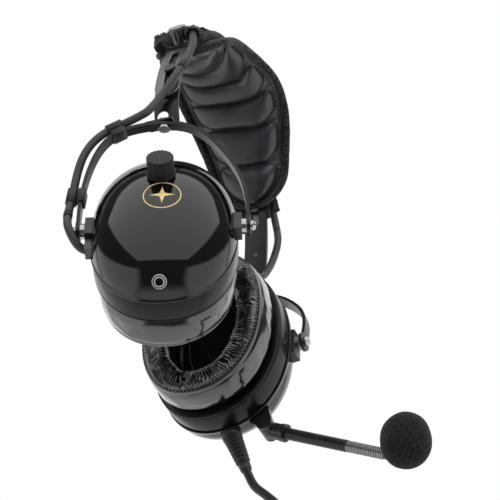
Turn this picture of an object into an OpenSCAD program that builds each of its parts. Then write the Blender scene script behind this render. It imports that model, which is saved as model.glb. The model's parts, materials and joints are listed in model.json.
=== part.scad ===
// Over-ear aviation headset: padded steel head band, sliding hangers, swivelling stirrups,
// two tilting ear cups, a boom microphone and a yoked cord.
// The origin is where the underside of the head pad rests on the crown of the head.
// +Z is up, the wearer faces -Y, and the wearer's left ear is at +X.

/* [Head band] */
// Radius of the strap over the crown
crown_r = 67.8; // [64:0.1:72]
// Radius of the strap at the sides of the head
side_r = 120; // [112:1:128]
// Angle above level at which the crown curve meets the side curve
blend_a = 39.4; // [37:0.1:42]
// Height of the strap above the crown of the head
pad_rise = 14; // [13:0.5:17]
// Width of the steel straps
strap_w = 15; // [13:0.5:16]
// Thickness of the steel straps
strap_t = 1.25; // [1:0.05:1.5]
// Angle of the head band's lower end on the side curve
band_end_a = -5.5; // [-6:0.5:-4]
// Angle of the stirrup rivet on the side curve, which also tilts the stirrup
rivet_a = -16; // [-17:0.5:-15]
// Clear gap between straps that slide on each other
slide_gap = 0.3; // [0.2:0.05:0.4]

/* [Adjuster] */
// Width of the slots in the straps
slot_w = 4.5; // [4:0.1:5]
// Lower end of the head band's slot, as an angle on the side curve
slot_low_a = -3; // [-3:0.5:-2]
// Upper end of the head band's slot
slot_high_a = 17; // [15:0.5:18]
// Angle of the clamp bolt
bolt_a = 24; // [23:0.5:25]
// Diameter of the clamp bolt
bolt_d = 4; // [3.6:0.1:4.2]
// Angle of the guide screw in the hanger
guide_a = 6.4; // [6:0.2:8]
// Upper end of the hanger strap
hanger_top_a = 33.5; // [33:0.5:34]
// Lower end of the hanger's curved strap
hanger_low_a = -8; // [-9:0.5:-7]
// Diameter of the adjuster knob
knob_d = 13; // [11:0.5:15]
// Height of the adjuster knob
knob_h = 9.6; // [8:0.2:12]
// Number of flutes on the adjuster knob
knob_flutes = 8; // [6:1:10]
// Diameter of the lightening hole in the hanger's leg
leg_hole_d = 7; // [5:0.1:7.4]
// Place of the lightening hole to the rear of the leg's middle
leg_hole_y = 2.4; // [0:0.1:2.6]
// How far the hanger's foot stands to the rear of its leg
foot_shift = 2.9; // [0:0.1:3.5]

/* [Head pad] */
// Half length of the pad along the strap
pad_half = 91; // [86:1:94]
// Half width of the pad at the crown
pad_hw = 34; // [28:0.5:38]
// Half width of the pad near its ends
pad_end_hw = 21; // [17:0.5:25]
// Thickness of the cushion at the top of its ribs
pad_t = 9.5; // [8:0.5:10]
// Depth of the channels between the ribs
pad_groove = 3.2; // [2:0.2:4]
// Thickness of the mesh backing
back_t = 1.6; // [1.2:0.1:2]
// Thickness of the mesh edge roll
roll_d = 5; // [4:0.2:6]

/* [Stirrup] */
// Half width of the stirrup at its pivots
stirrup_hw = 47; // [46.5:0.5:49]
// Height from the pivots to the rivet
stirrup_h = 69; // [67:0.5:72]
// Width of the stirrup strip
stirrup_w = 7; // [6:0.5:8]
// Thickness of the stirrup strip
stirrup_t = 2; // [1.5:0.1:2.4]
// Squareness of the stirrup arch
stirrup_k = 2.3; // [2.2:0.05:2.4]
// Height by which the rear shoulder of the arch stands above the front one, halved
stirrup_lean = 4.5; // [0:0.5:5]
// Swivel of the left stirrup at rest, turned forward
swivel_left = -6; // [-10:1:0]
// Swivel of the right stirrup at rest, turned forward
swivel_right = -17; // [-20:1:-10]
// Tilt of the cups in the stirrups at rest
cup_tilt = 19; // [17:0.5:21]

/* [Ear cup] */
// Half width of the cup, front to back
cup_a = 40.5; // [39:0.5:41]
// Half height of the cup
cup_b = 54.5; // [52:0.5:57]
// Squareness of the cup's outline
cup_k = 2.2; // [2:0.05:2.6]
// Depth of the dome
dome_d = 31; // [28:0.5:34]
// Place of the dome's rim, measured outward from the pivot axis
rim_n = -6; // [-8:0.5:-5]
// Wall of the dome
shell_t = 2.5; // [2:0.1:3]
// Depth of the band behind the dome
band_d = 14; // [12:0.5:16]
// Depth of the ear seal
seal_d = 22.5; // [18:0.5:24]
// Width of the ear seal's roll
seal_w = 19; // [17:0.5:21]
// Diameter of the pivot screws' shanks
pivot_d = 4; // [3.5:0.1:4.4]
// Diameter of the bore of the headphone jack
jack_d = 3.5; // [3.5:0.1:3.6]
// Diameter of the volume knob
volume_d = 15; // [13:0.5:17]
// Height of the volume knob
volume_h = 11; // [9:0.5:13]
// Diameter of the volume control's shaft
shaft_d = 6; // [5:0.1:6.4]

/* [Microphone boom] */
// Slope of the boom below level, in the cup's frame
boom_slope = 28.5; // [24:0.5:32]
// Diameter of the boom tube
boom_d = 6.9; // [6:0.1:8]
// Distance from the hub to the start of the gooseneck
boom_len = 54; // [50:1:60]
// Distance from the hub to the middle of the windscreen
mic_reach = 87; // [85:1:90]
// Diameter of the foam windscreen
foam_d = 28; // [26:0.5:32]
// Height of the foam windscreen
foam_h = 32.5; // [30:0.5:37]

/* [Cord] */
// Diameter of the main cord
cord_d = 5; // [4.6:0.1:5.2]
// Diameter of each lead after the splitter
lead_d = 4; // [3.6:0.1:4.2]
// Diameter of the cable between the cups
link_d = 5; // [4.4:0.1:5.2]
// Length of the strain relief
relief_len = 32; // [28:1:36]
// Radius of the first turn of the stored coil
coil_r = 35.5; // [34:0.5:38]
// Step between neighbouring turns of the coil
coil_step = 5.7; // [5.6:0.1:6]
// Turns in each layer of the coil
coil_turns = 3; // [2:1:3]
// Diameter of the headphone plug's pin
plug_d = 6.35; // [6.3:0.05:6.4]
// Diameter of the microphone plug's pin
mic_plug_d = 5.23; // [5.2:0.01:5.3]

/* [Hidden] */
$fn = 48;

// Colours of the finishes
steel = [0.30, 0.30, 0.31];
black = [0.05, 0.05, 0.06];
gloss = [0.02, 0.02, 0.03];
leather = [0.16, 0.16, 0.17];
bright = [0.80, 0.80, 0.82];
foam = [0.09, 0.09, 0.10];
cable = [0.22, 0.22, 0.22];

// Small sizes shared by several pieces
fit_gap = 0.05;      // radial running clearance of a turning pin
face_gap = 0.3;      // clearance between faces of pieces that move on each other
seat_gap = 0.1;      // clearance between curved pieces that touch
eps = 0.01;

// ---- Curves of the head band, in the plane of X and Z ----
side_cx = -(side_r - crown_r) * cos(blend_a);
crown_cz = pad_rise - crown_r;
side_cz = crown_cz - (side_r - crown_r) * sin(blend_a);
rivet_x = side_cx + side_r * cos(rivet_a);
rivet_z = side_cz + side_r * sin(rivet_a);
crown_len = crown_r * (90 - blend_a) * PI / 180;
hanger_r = side_r - strap_t - slide_gap;
near_s = -1;         // sign of the distance along the strap on the wearer's right
pad_tuck = 4;

// Angle on the band and curve radius at distance s along the strap from the crown
function on_crown(s) = abs(s) <= crown_len;
function band_a(s) = on_crown(s) ? 90 - abs(s) / crown_r * 180 / PI
    : blend_a - (abs(s) - crown_len) / side_r * 180 / PI;
// Point at distance s along the strap, w across it and out outward from its middle
function band_pt(s, w, out) = let(a = band_a(s), g = s < 0 ? -1 : 1)
    on_crown(s) ? [g * (crown_r + out) * cos(a), w, crown_cz + (crown_r + out) * sin(a)]
    : [g * (side_cx + (side_r + out) * cos(a)), w, side_cz + (side_r + out) * sin(a)];

// A flat band bent to an arc about the Y axis, from angle a0 to a1
module arc_band(r, a0, a1, w, t) {
    rotate([90, 0, 0]) rotate([0, 0, a0])
    rotate_extrude(angle = a1 - a0, $fn = 180)
    translate([r - t / 2, -w / 2]) square([t, w]);
}
module side_arc(r, a0, a1, w, t) {
    translate([side_cx, 0, side_cz]) arc_band(r, a0, a1, w, t);
}
// Frame on the side curve: +Z outward, +Y across the strap, +X down the strap
module on_side(a, r) {
    translate([side_cx, 0, side_cz]) rotate([0, -a, 0])
    translate([r, 0, 0]) rotate([0, 90, 0]) children();
}
// A through slot along the side curve with round ends
module side_slot(r, a0, a1, w) {
    cut_t = 4;
    end_a = w / 2 / r * 180 / PI;
    side_arc(r, a0 + end_a, a1 - end_a, w, cut_t);
    for (a = [a0 + end_a, a1 - end_a])
        on_side(a, r) cylinder(d = w, h = cut_t, center = true, $fn = 32);
}
// Left and right copies of the same thing
module side(right) {
    if (right) mirror([1, 0, 0]) children();
    else children();
}
// Frame of the hanger's foot: +X outward, +Z along the stirrup axis, origin at the rivet
module at_rivet() {
    translate([rivet_x, 0, rivet_z]) rotate([0, -rivet_a, 0]) children();
}
module at_stirrup(right) {
    side(right) at_rivet() rotate([0, 0, right ? swivel_right : swivel_left]) children();
}
module at_cup(right) {
    at_stirrup(right) translate([0, 0, -stirrup_h]) rotate([0, -cup_tilt, 0]) children();
}
// Draws a flat outline (x to the rear, y up) in the cup's side plane, thick outward
module facing() {
    rotate([90, 0, 90]) children();
}

// ---- Sweeps ----
function unit(v) = v / norm(v);
function tangent(p, i) = unit(p[min(i + 1, len(p) - 1)] - p[max(i - 1, 0)]);
// Carries a sideways direction along the path without twist
function frames(p, i, side_v) = i >= len(p) ? []
    : let(t = tangent(p, i), v = unit(side_v - (side_v * t) * t))
    concat([v], frames(p, i + 1, v));
// Quads between rings of n points, as triangles
function skin_sides(rings, n) = concat(
    [for (i = [0:rings - 2], j = [0:n - 1]) let(k = (j + 1) % n)
        [i * n + j, i * n + k, (i + 1) * n + j]],
    [for (i = [0:rings - 2], j = [0:n - 1]) let(k = (j + 1) % n)
        [i * n + k, (i + 1) * n + k, (i + 1) * n + j]]);
// A skin whose two ends are closed by fans round the points in mids
module capped(rings, mids) {
    m = len(rings);
    n = len(rings[0]);
    polyhedron(concat([for (r = rings) each r], mids), concat(skin_sides(m, n),
        [for (j = [0:n - 1]) [(j + 1) % n, j, m * n]],
        [for (j = [0:n - 1]) [(m - 1) * n + j, (m - 1) * n + (j + 1) % n, m * n + 1]]));
}
module tube(path, d, sides, side_v) {
    v = frames(path, 0, side_v);
    rings = [for (i = [0:len(path) - 1]) [for (j = [0:sides - 1])
        let(a = 360 * j / sides, t = tangent(path, i))
        path[i] + d / 2 * (cos(a) * v[i] - sin(a) * cross(t, v[i]))]];
    capped(rings, [path[0], path[len(path) - 1]]);
}
// A smooth path through hand-chosen points: a Catmull-Rom curve, m steps per span
function spline_at(a, b, c, d, t) = 0.5 * (2 * b + (c - a) * t
    + (2 * a - 5 * b + 4 * c - d) * t * t + (3 * b - a - 3 * c + d) * t * t * t);
function spline(p, m) = concat([for (i = [0:len(p) - 2], j = [0:m - 1])
    spline_at(p[max(i - 1, 0)], p[i], p[i + 1], p[min(i + 2, len(p) - 1)], j / m)],
    [p[len(p) - 1]]);
function path_len(p) = len(p) < 2 ? 0
    : [for (i = 0, s = 0; i < len(p); s = s + (i < len(p) - 1 ? norm(p[i + 1] - p[i]) : 0),
        i = i + 1) s][len(p) - 1];

// ---- Outlines ----
function spow(v, k) = sign(v) * pow(abs(v), 2 / k);
function oval(a, b, k, n) = [for (j = [0:n - 1]) let(f = 360 * j / n)
    [a * spow(cos(f), k), b * spow(sin(f), k)]];
cup_n = 56;          // points round a cup outline
module cup_outline(in) {
    polygon(oval(cup_a - in, cup_b - in, cup_k, cup_n));
}

// ---- Stirrup arch ----
function arch(f) = [stirrup_hw * spow(cos(f), stirrup_k),
    stirrup_h * (spow(sin(f), stirrup_k) - 1) + stirrup_lean * pow(sin(2 * f), 3)];
function arch_n(f) = let(d = arch(max(f - 0.5, 0.01)) - arch(min(f + 0.5, 179.99)), t = d / norm(d))
    [-t[1], t[0]];
// Point on the arch, moved outward
function arch_off(f, out) = arch(f) + out * arch_n(f);

// ---- Cord routes in millimetres ----
// Main cord, from inside the strain relief to the stored coil
RUN = [[58.7, -11, -257], [58.8, -13.8, -264], [58.9, -17, -272], [58.9, -21.5, -281],
    [58.7, -29, -289], [58.4, -36, -297], [58, -40.5, -305], [57.5, -42, -313],
    [56.8, -40.5, -321], [56, -36.5, -328], [55.3, -31, -333], [55, -26, -335.5],
    [55, -22, -336]];
// Leads, measured from the splitter's lower face
LEAD_P = [[0, 0, 0], [0, 3.9, -3.1], [-0.5, 8, -8], [-1, 11.5, -16], [-2, 13.5, -26],
    [-3.5, 14.5, -40], [-4.5, 15, -60], [-5, 15, -85], [-5, 15, -105], [-5, 15, -122]];
LEAD_M = [[0, 0, 0], [0, 3.9, -3.1], [0.5, 8, -8], [1, 11.5, -16], [2, 13.5, -26],
    [3.5, 14.5, -40], [4.5, 15, -60], [5, 15, -85], [5, 15, -100], [5, 15, -112]];
// Cable between the cups, from where it leaves the sleeve: beside the right adjuster, then in
// the right stirrup's frame
LINK_R = [[9.6, 1, -8], [11.3, -0.3, -17.2], [13.5, -0.9, -32.2],
    [16.6, 1.1, -49.2], [17, 6, -62.9], [16.1, 11.1, -72.6]];
LINK_R_TOP = [[4, 8.2, 8.8], [2.5, 13.8, 5.6]];
LINK_R_LOW = [[3, 52.7, -60], [6.4, 51.8, -69.5], [4.6, 48.2, -77.6]];
// and beside the left adjuster, down into the top of the left cup
LINK_L = [[7.5, 0.5, -8], [10.6, -1, -17.2], [12.6, -3.1, -32.2],
    [11.3, -2.3, -48.2], [4.8, -1.5, -67.2], [-4.2, 0, -82.2]];

// A point of the stirrup's frame, or of the cup's, in the part's frame on +X
function stirrup_pt(p, sw) = let(x = p[0] * cos(sw) - p[1] * sin(sw),
    y = p[0] * sin(sw) + p[1] * cos(sw), a = -rivet_a)
    [rivet_x + x * cos(a) + p[2] * sin(a), y, rivet_z - x * sin(a) + p[2] * cos(a)];
function cup_pt(p, sw) = stirrup_pt([p[0] * cos(cup_tilt) - p[2] * sin(cup_tilt), p[1],
    p[0] * sin(cup_tilt) + p[2] * cos(cup_tilt) - stirrup_h], sw);

// ---- Head band ----
band_half = crown_len + side_r * (blend_a - band_end_a) * PI / 180;
function in_plane(p) = [p[0], p[2]];
module band_strap() {
    rise = strap_w / 2 / side_r * 180 / PI;
    steps = 64;
    line = [for (i = [0:steps]) band_half * (2 * i / steps - 1)];
    color(steel) difference() {
        rotate([90, 0, 0]) linear_extrude(strap_w, center = true) polygon(concat(
            [for (s = line) in_plane(band_pt(s, 0, strap_t / 2))],
            [for (k = [steps:-1:0]) in_plane(band_pt(line[k], 0, -strap_t / 2))]));
        for (right = [false, true]) side(right) {
            side_slot(side_r, slot_low_a, slot_high_a, slot_w);
            on_side(bolt_a, side_r) cylinder(d = bolt_d + 2 * fit_gap, h = 6, center = true);
            on_side(band_end_a + rise, side_r) difference() {
                translate([0, -strap_w, -4]) cube([strap_w, 2 * strap_w, 8]);
                cylinder(d = strap_w, h = 10, center = true);
            }
        }
    }
}

bolt_head_h = 1.5;
cover_in = hanger_r - side_r - strap_t / 2 - slide_gap;   // inner face of the sleeve's channel
cushion_out = cover_in - back_t - seat_gap;
cable_w = -10.5;      // the cable runs beside the strap's front edge
cable_out = 1.8;
sleeve_end_a = 28.5;
tongue_end_a = 20.5;
mesh_t = 1.2;
channel_hw = strap_w / 2 + slide_gap;
cover_top = strap_t / 2 + seat_gap;

// Half width of the pad at distance s along the strap
function end_round(s, half) = let(r = 22, k = max(0, abs(s) - half + r) / r)
    sqrt(max(0.06, 1 - k * k));
function pad_w(s, half) = end_round(s, half) * (pad_end_hw
    + (pad_hw - pad_end_hw) * pow(max(0, cos(90 * abs(s) / half)), 1.6));
// The pad's front edge is drawn in where it passes over the wearer's right shoulder of the band
function tuck(s, v) = v < 0 && s * near_s > 0 ? pad_tuck * v * pow(sin(180 * abs(s) / pad_half), 1.5) : 0;
// Depth of the channels sewn across the pad, bowed towards the crown at the edges
GROOVES = [12.5, 36, 62];
function groove(s, v) = max([for (g = GROOVES)
    let(bow = 4 + 0.13 * g, d = (abs(s) + bow * v * v - g) / 2.6) exp(-d * d)]);
function cushion_depth(s, v) = let(full = pad_rise + cushion_out - 1)
    (full - 1.4 * pow(abs(s) / pad_half, 2)) * sqrt(max(0, 1 - pow(abs(v), 2.8)))
    * (0.35 + 0.65 * end_round(s, pad_half)) - pad_groove * groove(s, v) * (1 - pow(v, 4)) + 0.8;
pad_steps = 73;
pad_in_n = 11;
module head_pad() {
    flat = [0.75, 0.4, 0, -0.4, -0.75];
    n = pad_in_n + len(flat);
    rings = [for (i = [0:pad_steps - 1])
        let(s = pad_half * (1 - 2 * i / (pad_steps - 1)), w = pad_w(s, pad_half) - 1.7)
        concat([for (j = [0:pad_in_n - 1]) let(v = sin(90 * (2 * j / (pad_in_n - 1) - 1)))
            band_pt(s, w * v - tuck(s, v), cushion_out - cushion_depth(s, v))],
            [for (v = flat) band_pt(s, w * v - tuck(s, v), cushion_out)])];
    color(leather) capped(rings, [band_pt(pad_half, 0, cushion_out - 1),
        band_pt(-pad_half, 0, cushion_out - 1)]);
}
module pad_cover() {
    steps = 45;
    half = pad_half + roll_d / 2;
    r = roll_d / 2;
    mid = cover_in - r;
    turn = [75, 25, -25, -75];
    rings = [for (i = [0:steps - 1])
        let(s = half * (2 * i / (steps - 1) - 1), w = pad_w(s, half), f = w + tuck(s * 0.97, -1))
        concat([for (a = turn) band_pt(s, w + r * cos(a), mid + r * sin(a))],
            [band_pt(s, w - r * 0.5, mid - r * 0.8), band_pt(s, w - r * 0.65, cover_in - back_t)],
            [band_pt(s, 0, cover_in - back_t)],
            [band_pt(s, r * 0.65 - f, cover_in - back_t), band_pt(s, r * 0.5 - f, mid - r * 0.8)],
            [for (a = turn) band_pt(s, -f - r * cos(a), mid - r * sin(a))],
            [band_pt(s, -f * 0.5, cover_in), band_pt(s, 0, cover_in), band_pt(s, w * 0.5, cover_in)])];
    color(black) difference() {
        capped(rings, [band_pt(-half, 0, mid), band_pt(half, 0, mid)]);
        for (right = [false, true]) side(right) on_side(bolt_a, side_r)
            translate([0, 0, cover_in - bolt_head_h - seat_gap]) cylinder(d = 2 * bolt_d + 0.4, h = 8);
    }
}
// Pairs of outer and inner points of the sleeve's wall, as [outward, across]
function round_cable(r, a) = [cable_out + r * cos(a), cable_w + r * sin(a)];
sleeve_wall = let(low = cover_in + seat_gap, top = cover_top + mesh_t, rear = channel_hw + mesh_t,
    r = link_d / 2 + seat_gap, wall = r + 1) concat(
    [[[low, cable_w - 1.4], [low, -channel_hw]], [round_cable(wall, -150), [-0.5, -channel_hw]]],
    [for (k = [0:8]) [round_cable(wall, 25 * k - 125), round_cable(r, (k == 0 ? 145 : 145 + 35 * k))]],
    [[[top, -5.5], round_cable(r, 455)], [[top, -3], [cover_top, -6.9]], [[top, 0], [cover_top, 0]],
    [[top, rear - 1], [cover_top, channel_hw]], [[top - 1, rear], [0.4, channel_hw]],
    [[low, rear], [low, channel_hw]]]);
sleeve_half = crown_len + side_r * (blend_a - sleeve_end_a) * PI / 180;
// The tongue is open on the cable's side
module tongue_section() {
    open_at = -channel_hw + 0.1;
    difference() {
        translate([cover_in, open_at])
            square([cover_top + mesh_t - cover_in, channel_hw + mesh_t - open_at]);
        translate([cover_in - 1, open_at - 1])
            square([cover_top - cover_in + 1, channel_hw + 1 - open_at]);
    }
}
// A section swept about the Y axis, from angle a0 to a1
module bent(cx, cz, r, a0, a1) {
    translate([cx, 0, cz]) rotate([90, 0, 0]) rotate([0, 0, a0])
    rotate_extrude(angle = a1 - a0, $fn = 180) translate([r, 0]) mirror([0, 1]) children();
}
module pad_sleeve() {
    steps = 29;
    k = len(sleeve_wall);
    n = 2 * k;
    pts = [for (i = [0:steps - 1]) let(s = sleeve_half * (2 * i / (steps - 1) - 1))
        each concat([for (p = sleeve_wall) band_pt(s, p[0][1], p[0][0])],
        [for (m = [k - 1:-1:0]) band_pt(s, sleeve_wall[m][1][1], sleeve_wall[m][1][0])])];
    last = (steps - 1) * n;
    color(black) {
        polyhedron(pts, concat(skin_sides(steps, n),
            [for (m = [0:k - 2]) each [[m, m + 1, n - 1 - m], [m + 1, n - 2 - m, n - 1 - m]]],
            [for (m = [0:k - 2]) each [[last + m, last + n - 1 - m, last + m + 1],
            [last + m + 1, last + n - 1 - m, last + n - 2 - m]]]));
        for (right = [false, true]) side(right) difference() {
            bent(side_cx, side_cz, side_r, tongue_end_a, sleeve_end_a - 0.05) tongue_section();
            on_side(bolt_a, side_r) cylinder(d = bolt_d + 2 * face_gap, h = 12, center = true);
        }
    }
}
module cable_crown() {
    steps = 45;
    half = sleeve_half - 0.3;
    color(cable) tube([for (i = [0:steps - 1]) band_pt(half * (2 * i / (steps - 1) - 1),
        cable_w, cable_out)], link_d, 10, [0, 1, 0]);
}

// ---- Adjusters ----
knob_seat = cover_top + mesh_t + face_gap;
module clamp_bolts() {
    head_t = bolt_head_h;
    head_top = cover_in;
    color(steel) for (right = [false, true]) side(right) on_side(bolt_a, side_r) {
        translate([0, 0, head_top - head_t]) cylinder(d = 2 * bolt_d, h = head_t);
        translate([0, 0, head_top - eps]) cylinder(d = bolt_d, h = knob_seat + knob_h * 0.7 - head_top);
    }
}
module adjuster_knob(right) {
    flute_r = 1.3;
    color(black) side(right) on_side(bolt_a, side_r) translate([0, 0, knob_seat]) difference() {
        union() {
            cylinder(d = knob_d, h = knob_h - 1);
            translate([0, 0, knob_h - 1]) cylinder(d = knob_d - 2.4, h = 1);
        }
        for (i = [0:knob_flutes - 1]) rotate([0, 0, 360 * i / knob_flutes])
            translate([knob_d / 2 + 0.5, 0, 2]) cylinder(r = flute_r, h = knob_h, $fn = 24);
        translate([0, 0, -1]) cylinder(d = bolt_d + 2 * fit_gap, h = knob_h * 0.7 + 1.3);
    }
}
// Points of the hanger's leg in the rivet's frame
foot_u = stirrup_t / 2 + face_gap + strap_t / 2;
foot_out = 4;
leg_low = [-5.1, foot_u];
leg_high = let(dx = side_cx + hanger_r * cos(hanger_low_a) - rivet_x,
    dz = side_cz + hanger_r * sin(hanger_low_a) - rivet_z, a = -rivet_a)
    [dx * cos(a) - dz * sin(a), dx * sin(a) + dz * cos(a)];
leg_dir = (leg_high - leg_low) / norm(leg_high - leg_low);
function rivet_plane(p) = let(a = -rivet_a)
    [rivet_x + p[0] * cos(a) + p[1] * sin(a), rivet_z - p[0] * sin(a) + p[1] * cos(a)];
function hanger_side(a, out) = [side_cx + (hanger_r + out) * cos(a), side_cz + (hanger_r + out) * sin(a)];
module hanger(right) {
    side_v = [leg_dir[1], -leg_dir[0]] * strap_t / 2;
    up = [0, strap_t / 2];
    steps = 24;
    line = [for (i = [0:steps]) hanger_top_a + (hanger_low_a - hanger_top_a) * i / steps];
    color(steel) side(right) difference() {
        translate([0, strap_w / 2 + foot_shift, 0]) rotate([90, 0, 0])
            linear_extrude(strap_w + foot_shift) polygon(concat(
            [for (a = line) hanger_side(a, strap_t / 2)],
            [for (p = [leg_low + side_v + up, [foot_out, foot_u] + up, [foot_out, foot_u] - up,
                leg_low - side_v - up]) rivet_plane(p)],
            [for (k = [steps:-1:0]) hanger_side(line[k], -strap_t / 2)]));
        side_slot(hanger_r, bolt_a - 6.6, hanger_top_a - 2.5, slot_w);
        on_side(guide_a, hanger_r) cylinder(d = slot_w - 2 * face_gap, h = 4, center = true);
        at_rivet() {
            translate([-60, strap_w / 2, foot_u + strap_t / 2 + 0.6]) cube([90, 10, 130]);
            translate([leg_low[0] + strap_t + 0.8, -strap_w, foot_u - 2])
                cube([20, strap_w / 2 + foot_shift - 1.5, 6]);
            translate([(leg_low[0] + leg_high[0]) / 2, leg_hole_y, (leg_low[1] + leg_high[1]) / 2])
                rotate([0, 90 + atan(leg_dir[0] / leg_dir[1]), 0])
                cylinder(d = leg_hole_d, h = 6, center = true);
            cylinder(d = pivot_d, h = 12, center = true);
        }
    }
}
module hanger_screws(right) {
    shank = slot_w - 2 * face_gap;
    head_d = 7;
    head_t = 1.5;
    strap_top = side_r - hanger_r + strap_t / 2 + face_gap;
    rivet_head = 3.5;
    color(bright) side(right) {
        on_side(guide_a, hanger_r) {
            translate([0, 0, -strap_t / 2]) cylinder(d = shank, h = strap_top + strap_t / 2 + eps);
            translate([0, 0, strap_top]) cylinder(d = head_d, h = head_t);
        }
        at_rivet() {
            translate([0, 0, foot_u + strap_t / 2]) cylinder(d = 2 * rivet_head, h = 1.2);
            translate([0, 0, -stirrup_t / 2 - face_gap - eps])
                cylinder(d = pivot_d, h = foot_u + strap_t / 2 + stirrup_t / 2 + face_gap + 2 * eps);
            translate([0, 0, -stirrup_t / 2 - face_gap - 1.6]) cylinder(d = 2 * rivet_head, h = 1.6);
        }
    }
}

// ---- Stirrups ----
module stirrup(right) {
    f_step = 4;
    ear_r = 5.6;
    low = [for (s = [1, -1]) [s * stirrup_hw, -stirrup_h]];
    color(steel) at_stirrup(right) difference() {
        union() {
            facing() linear_extrude(stirrup_w, center = true) polygon(concat(
                [for (f = [0:f_step:180]) arch_off(f, stirrup_t / 2)],
                [for (f = [180:-f_step:0]) arch_off(f, -stirrup_t / 2)]));
            for (p = low) translate([0, p[0], p[1]]) rotate([90, 0, 0])
                cylinder(r = ear_r, h = stirrup_t, center = true);
        }
        cylinder(d = pivot_d + 2 * fit_gap, h = 8, center = true);
        for (p = low) translate([0, p[0], p[1]]) rotate([90, 0, 0])
            cylinder(d = pivot_d + 2 * fit_gap, h = 8, center = true);
    }
}
// Two-barrel clip round the strip and the cable, at angle f of the arch
clip_gap = stirrup_t / 2 + link_d / 2 + 2;    // from the strip's middle to the cable's
module cable_clip(f) {
    nrm = arch_n(f);
    wall = 1;
    slack = 0.95;
    clip_len = 11;
    facing() translate([arch(f)[0], arch(f)[1], 0]) rotate([0, 0, atan2(-nrm[0], nrm[1])])
    rotate([90, 0, 90]) linear_extrude(clip_len, center = true) difference() {
        union() {
            square([stirrup_t + 2 * (slack + wall), stirrup_w + 2 * (slack + wall)], center = true);
            translate([clip_gap, 0]) circle(d = link_d + 2 * (slack + wall));
            translate([0, -2]) square([clip_gap, 4]);
        }
        square([stirrup_t + 2 * slack, stirrup_w + 2 * slack], center = true);
        translate([clip_gap, 0]) circle(d = link_d + 2 * slack);
    }
}
CLIPS = [60, 15];
module cable_clips_right() {
    color(black) at_stirrup(true) for (f = CLIPS) cable_clip(f);
}

// ---- Cable between the cups ----
function beside_strap(a) = let(r = side_r + cable_out)
    [side_cx + r * cos(a), cable_w, side_cz + r * sin(a)];
link_start = beside_strap(sleeve_end_a);
link_first = beside_strap(sleeve_end_a - 0.3);
link_next = beside_strap(sleeve_end_a - 1.2);
link_side = [0, 1, 0];
clip_n = -3;
clip_u = -11;
gland_n = -3;
gland_y = -8;
gland_u = cup_b + 1.5;
function on_hoop(f) = let(bow = f < CLIPS[0] && f > CLIPS[1],
    more = bow ? 1.5 * pow(sin(180 * (CLIPS[0] - f) / (CLIPS[0] - CLIPS[1])), 2) : 0,
    p = arch_off(f, clip_gap + more)) [0, p[0], p[1]];
link_right = concat([link_next], [for (p = LINK_R) link_start + p],
    [for (p = LINK_R_TOP) stirrup_pt(p, swivel_right)],
    [for (f = [64:-7:14]) stirrup_pt(on_hoop(f), swivel_right)],
    [for (p = LINK_R_LOW) stirrup_pt(p, swivel_right)],
    [for (y = [44.6, 42.6, 40.5]) cup_pt([clip_n, y, clip_u], swivel_right)]);
link_left = concat([link_next], [for (p = LINK_L) link_start + p],
    [for (u = [gland_u + 12, gland_u + 5, gland_u]) cup_pt([gland_n, gland_y, u], swivel_left)]);
module link_cable_left() {
    color(cable) tube(concat([link_first], spline(link_left, 3)), link_d, 10, link_side);
}
module link_cable_right() {
    color(cable) mirror([1, 0, 0])
        tube(concat([link_first], spline(link_right, 2)), link_d, 10, link_side);
}

// ---- Ear cups ----
// Half-shell: rings of the outline from the rim up to the apex, outside and in
function dome_ring(a, b, d, f, base) = [for (p = oval(a * spow(cos(f), cup_k),
    b * spow(cos(f), cup_k), cup_k, cup_n)) [base + d * spow(sin(f), cup_k), p[0], p[1]]];
function cap_faces(n, rings, first, flip) = concat(
    [for (i = [0:rings - 2], j = [0:n - 1]) let(k = (j + 1) % n, o = first + i * n)
        flip ? [o + j, o + k, o + n + j] : [o + j, o + n + j, o + k]],
    [for (i = [0:rings - 2], j = [0:n - 1]) let(k = (j + 1) % n, o = first + i * n)
        flip ? [o + k, o + n + k, o + n + j] : [o + k, o + n + j, o + n + k]]);
DOME_F = [0, 12, 24, 36, 48, 59, 69, 78, 85];
module dome_solid(grow) {
    rings = len(DOME_F);
    pts = [for (f = DOME_F) each dome_ring(cup_a + grow, cup_b + grow, dome_d + grow, f, rim_n)];
    apex = [rim_n + dome_d + grow, 0, 0];
    n = cup_n;
    last = (rings - 1) * n;
    polyhedron(concat(pts, [apex]), concat(cap_faces(n, rings, 0, false),
        [for (j = [0:n - 1]) [last + j, rings * n, last + (j + 1) % n]],
        [[for (j = [0:n - 1]) j]]));
}
// The whole outside of a cup, for cutting what sits on it
module cup_body() {
    dome_solid(0);
    translate([band_n, 0, 0]) facing() linear_extrude(band_d + eps) cup_outline(0);
}
module cup_skin() {
    rings = len(DOME_F);
    n = cup_n;
    t = shell_t;
    inner = (rings * n) + 1;
    last = (rings - 1) * n;
    pts = concat([for (f = DOME_F) each dome_ring(cup_a, cup_b, dome_d, f, rim_n)],
        [[rim_n + dome_d, 0, 0]],
        [for (f = DOME_F) each dome_ring(cup_a - t, cup_b - t, dome_d - t, f, rim_n)],
        [[rim_n + dome_d - t, 0, 0]]);
    polyhedron(pts, concat(cap_faces(n, rings, 0, false),
        [for (j = [0:n - 1]) [last + j, rings * n, last + (j + 1) % n]],
        cap_faces(n, rings, inner, true),
        [for (j = [0:n - 1]) [inner + last + (j + 1) % n, inner + rings * n, inner + last + j]],
        [for (j = [0:n - 1]) let(k = (j + 1) % n) [j, k, inner + j]],
        [for (j = [0:n - 1]) let(k = (j + 1) % n) [k, inner + k, inner + j]]));
}
jack_n = 6.2;
jack_u = -51.2;
jack_a = -58;
volume_n = 23.9;
volume_u = 17.1;
volume_a = 6.4;
module at_jack() {
    at_cup(true) translate([jack_n, 0, jack_u]) rotate([0, 90 - jack_a, 0]) children();
}
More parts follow.
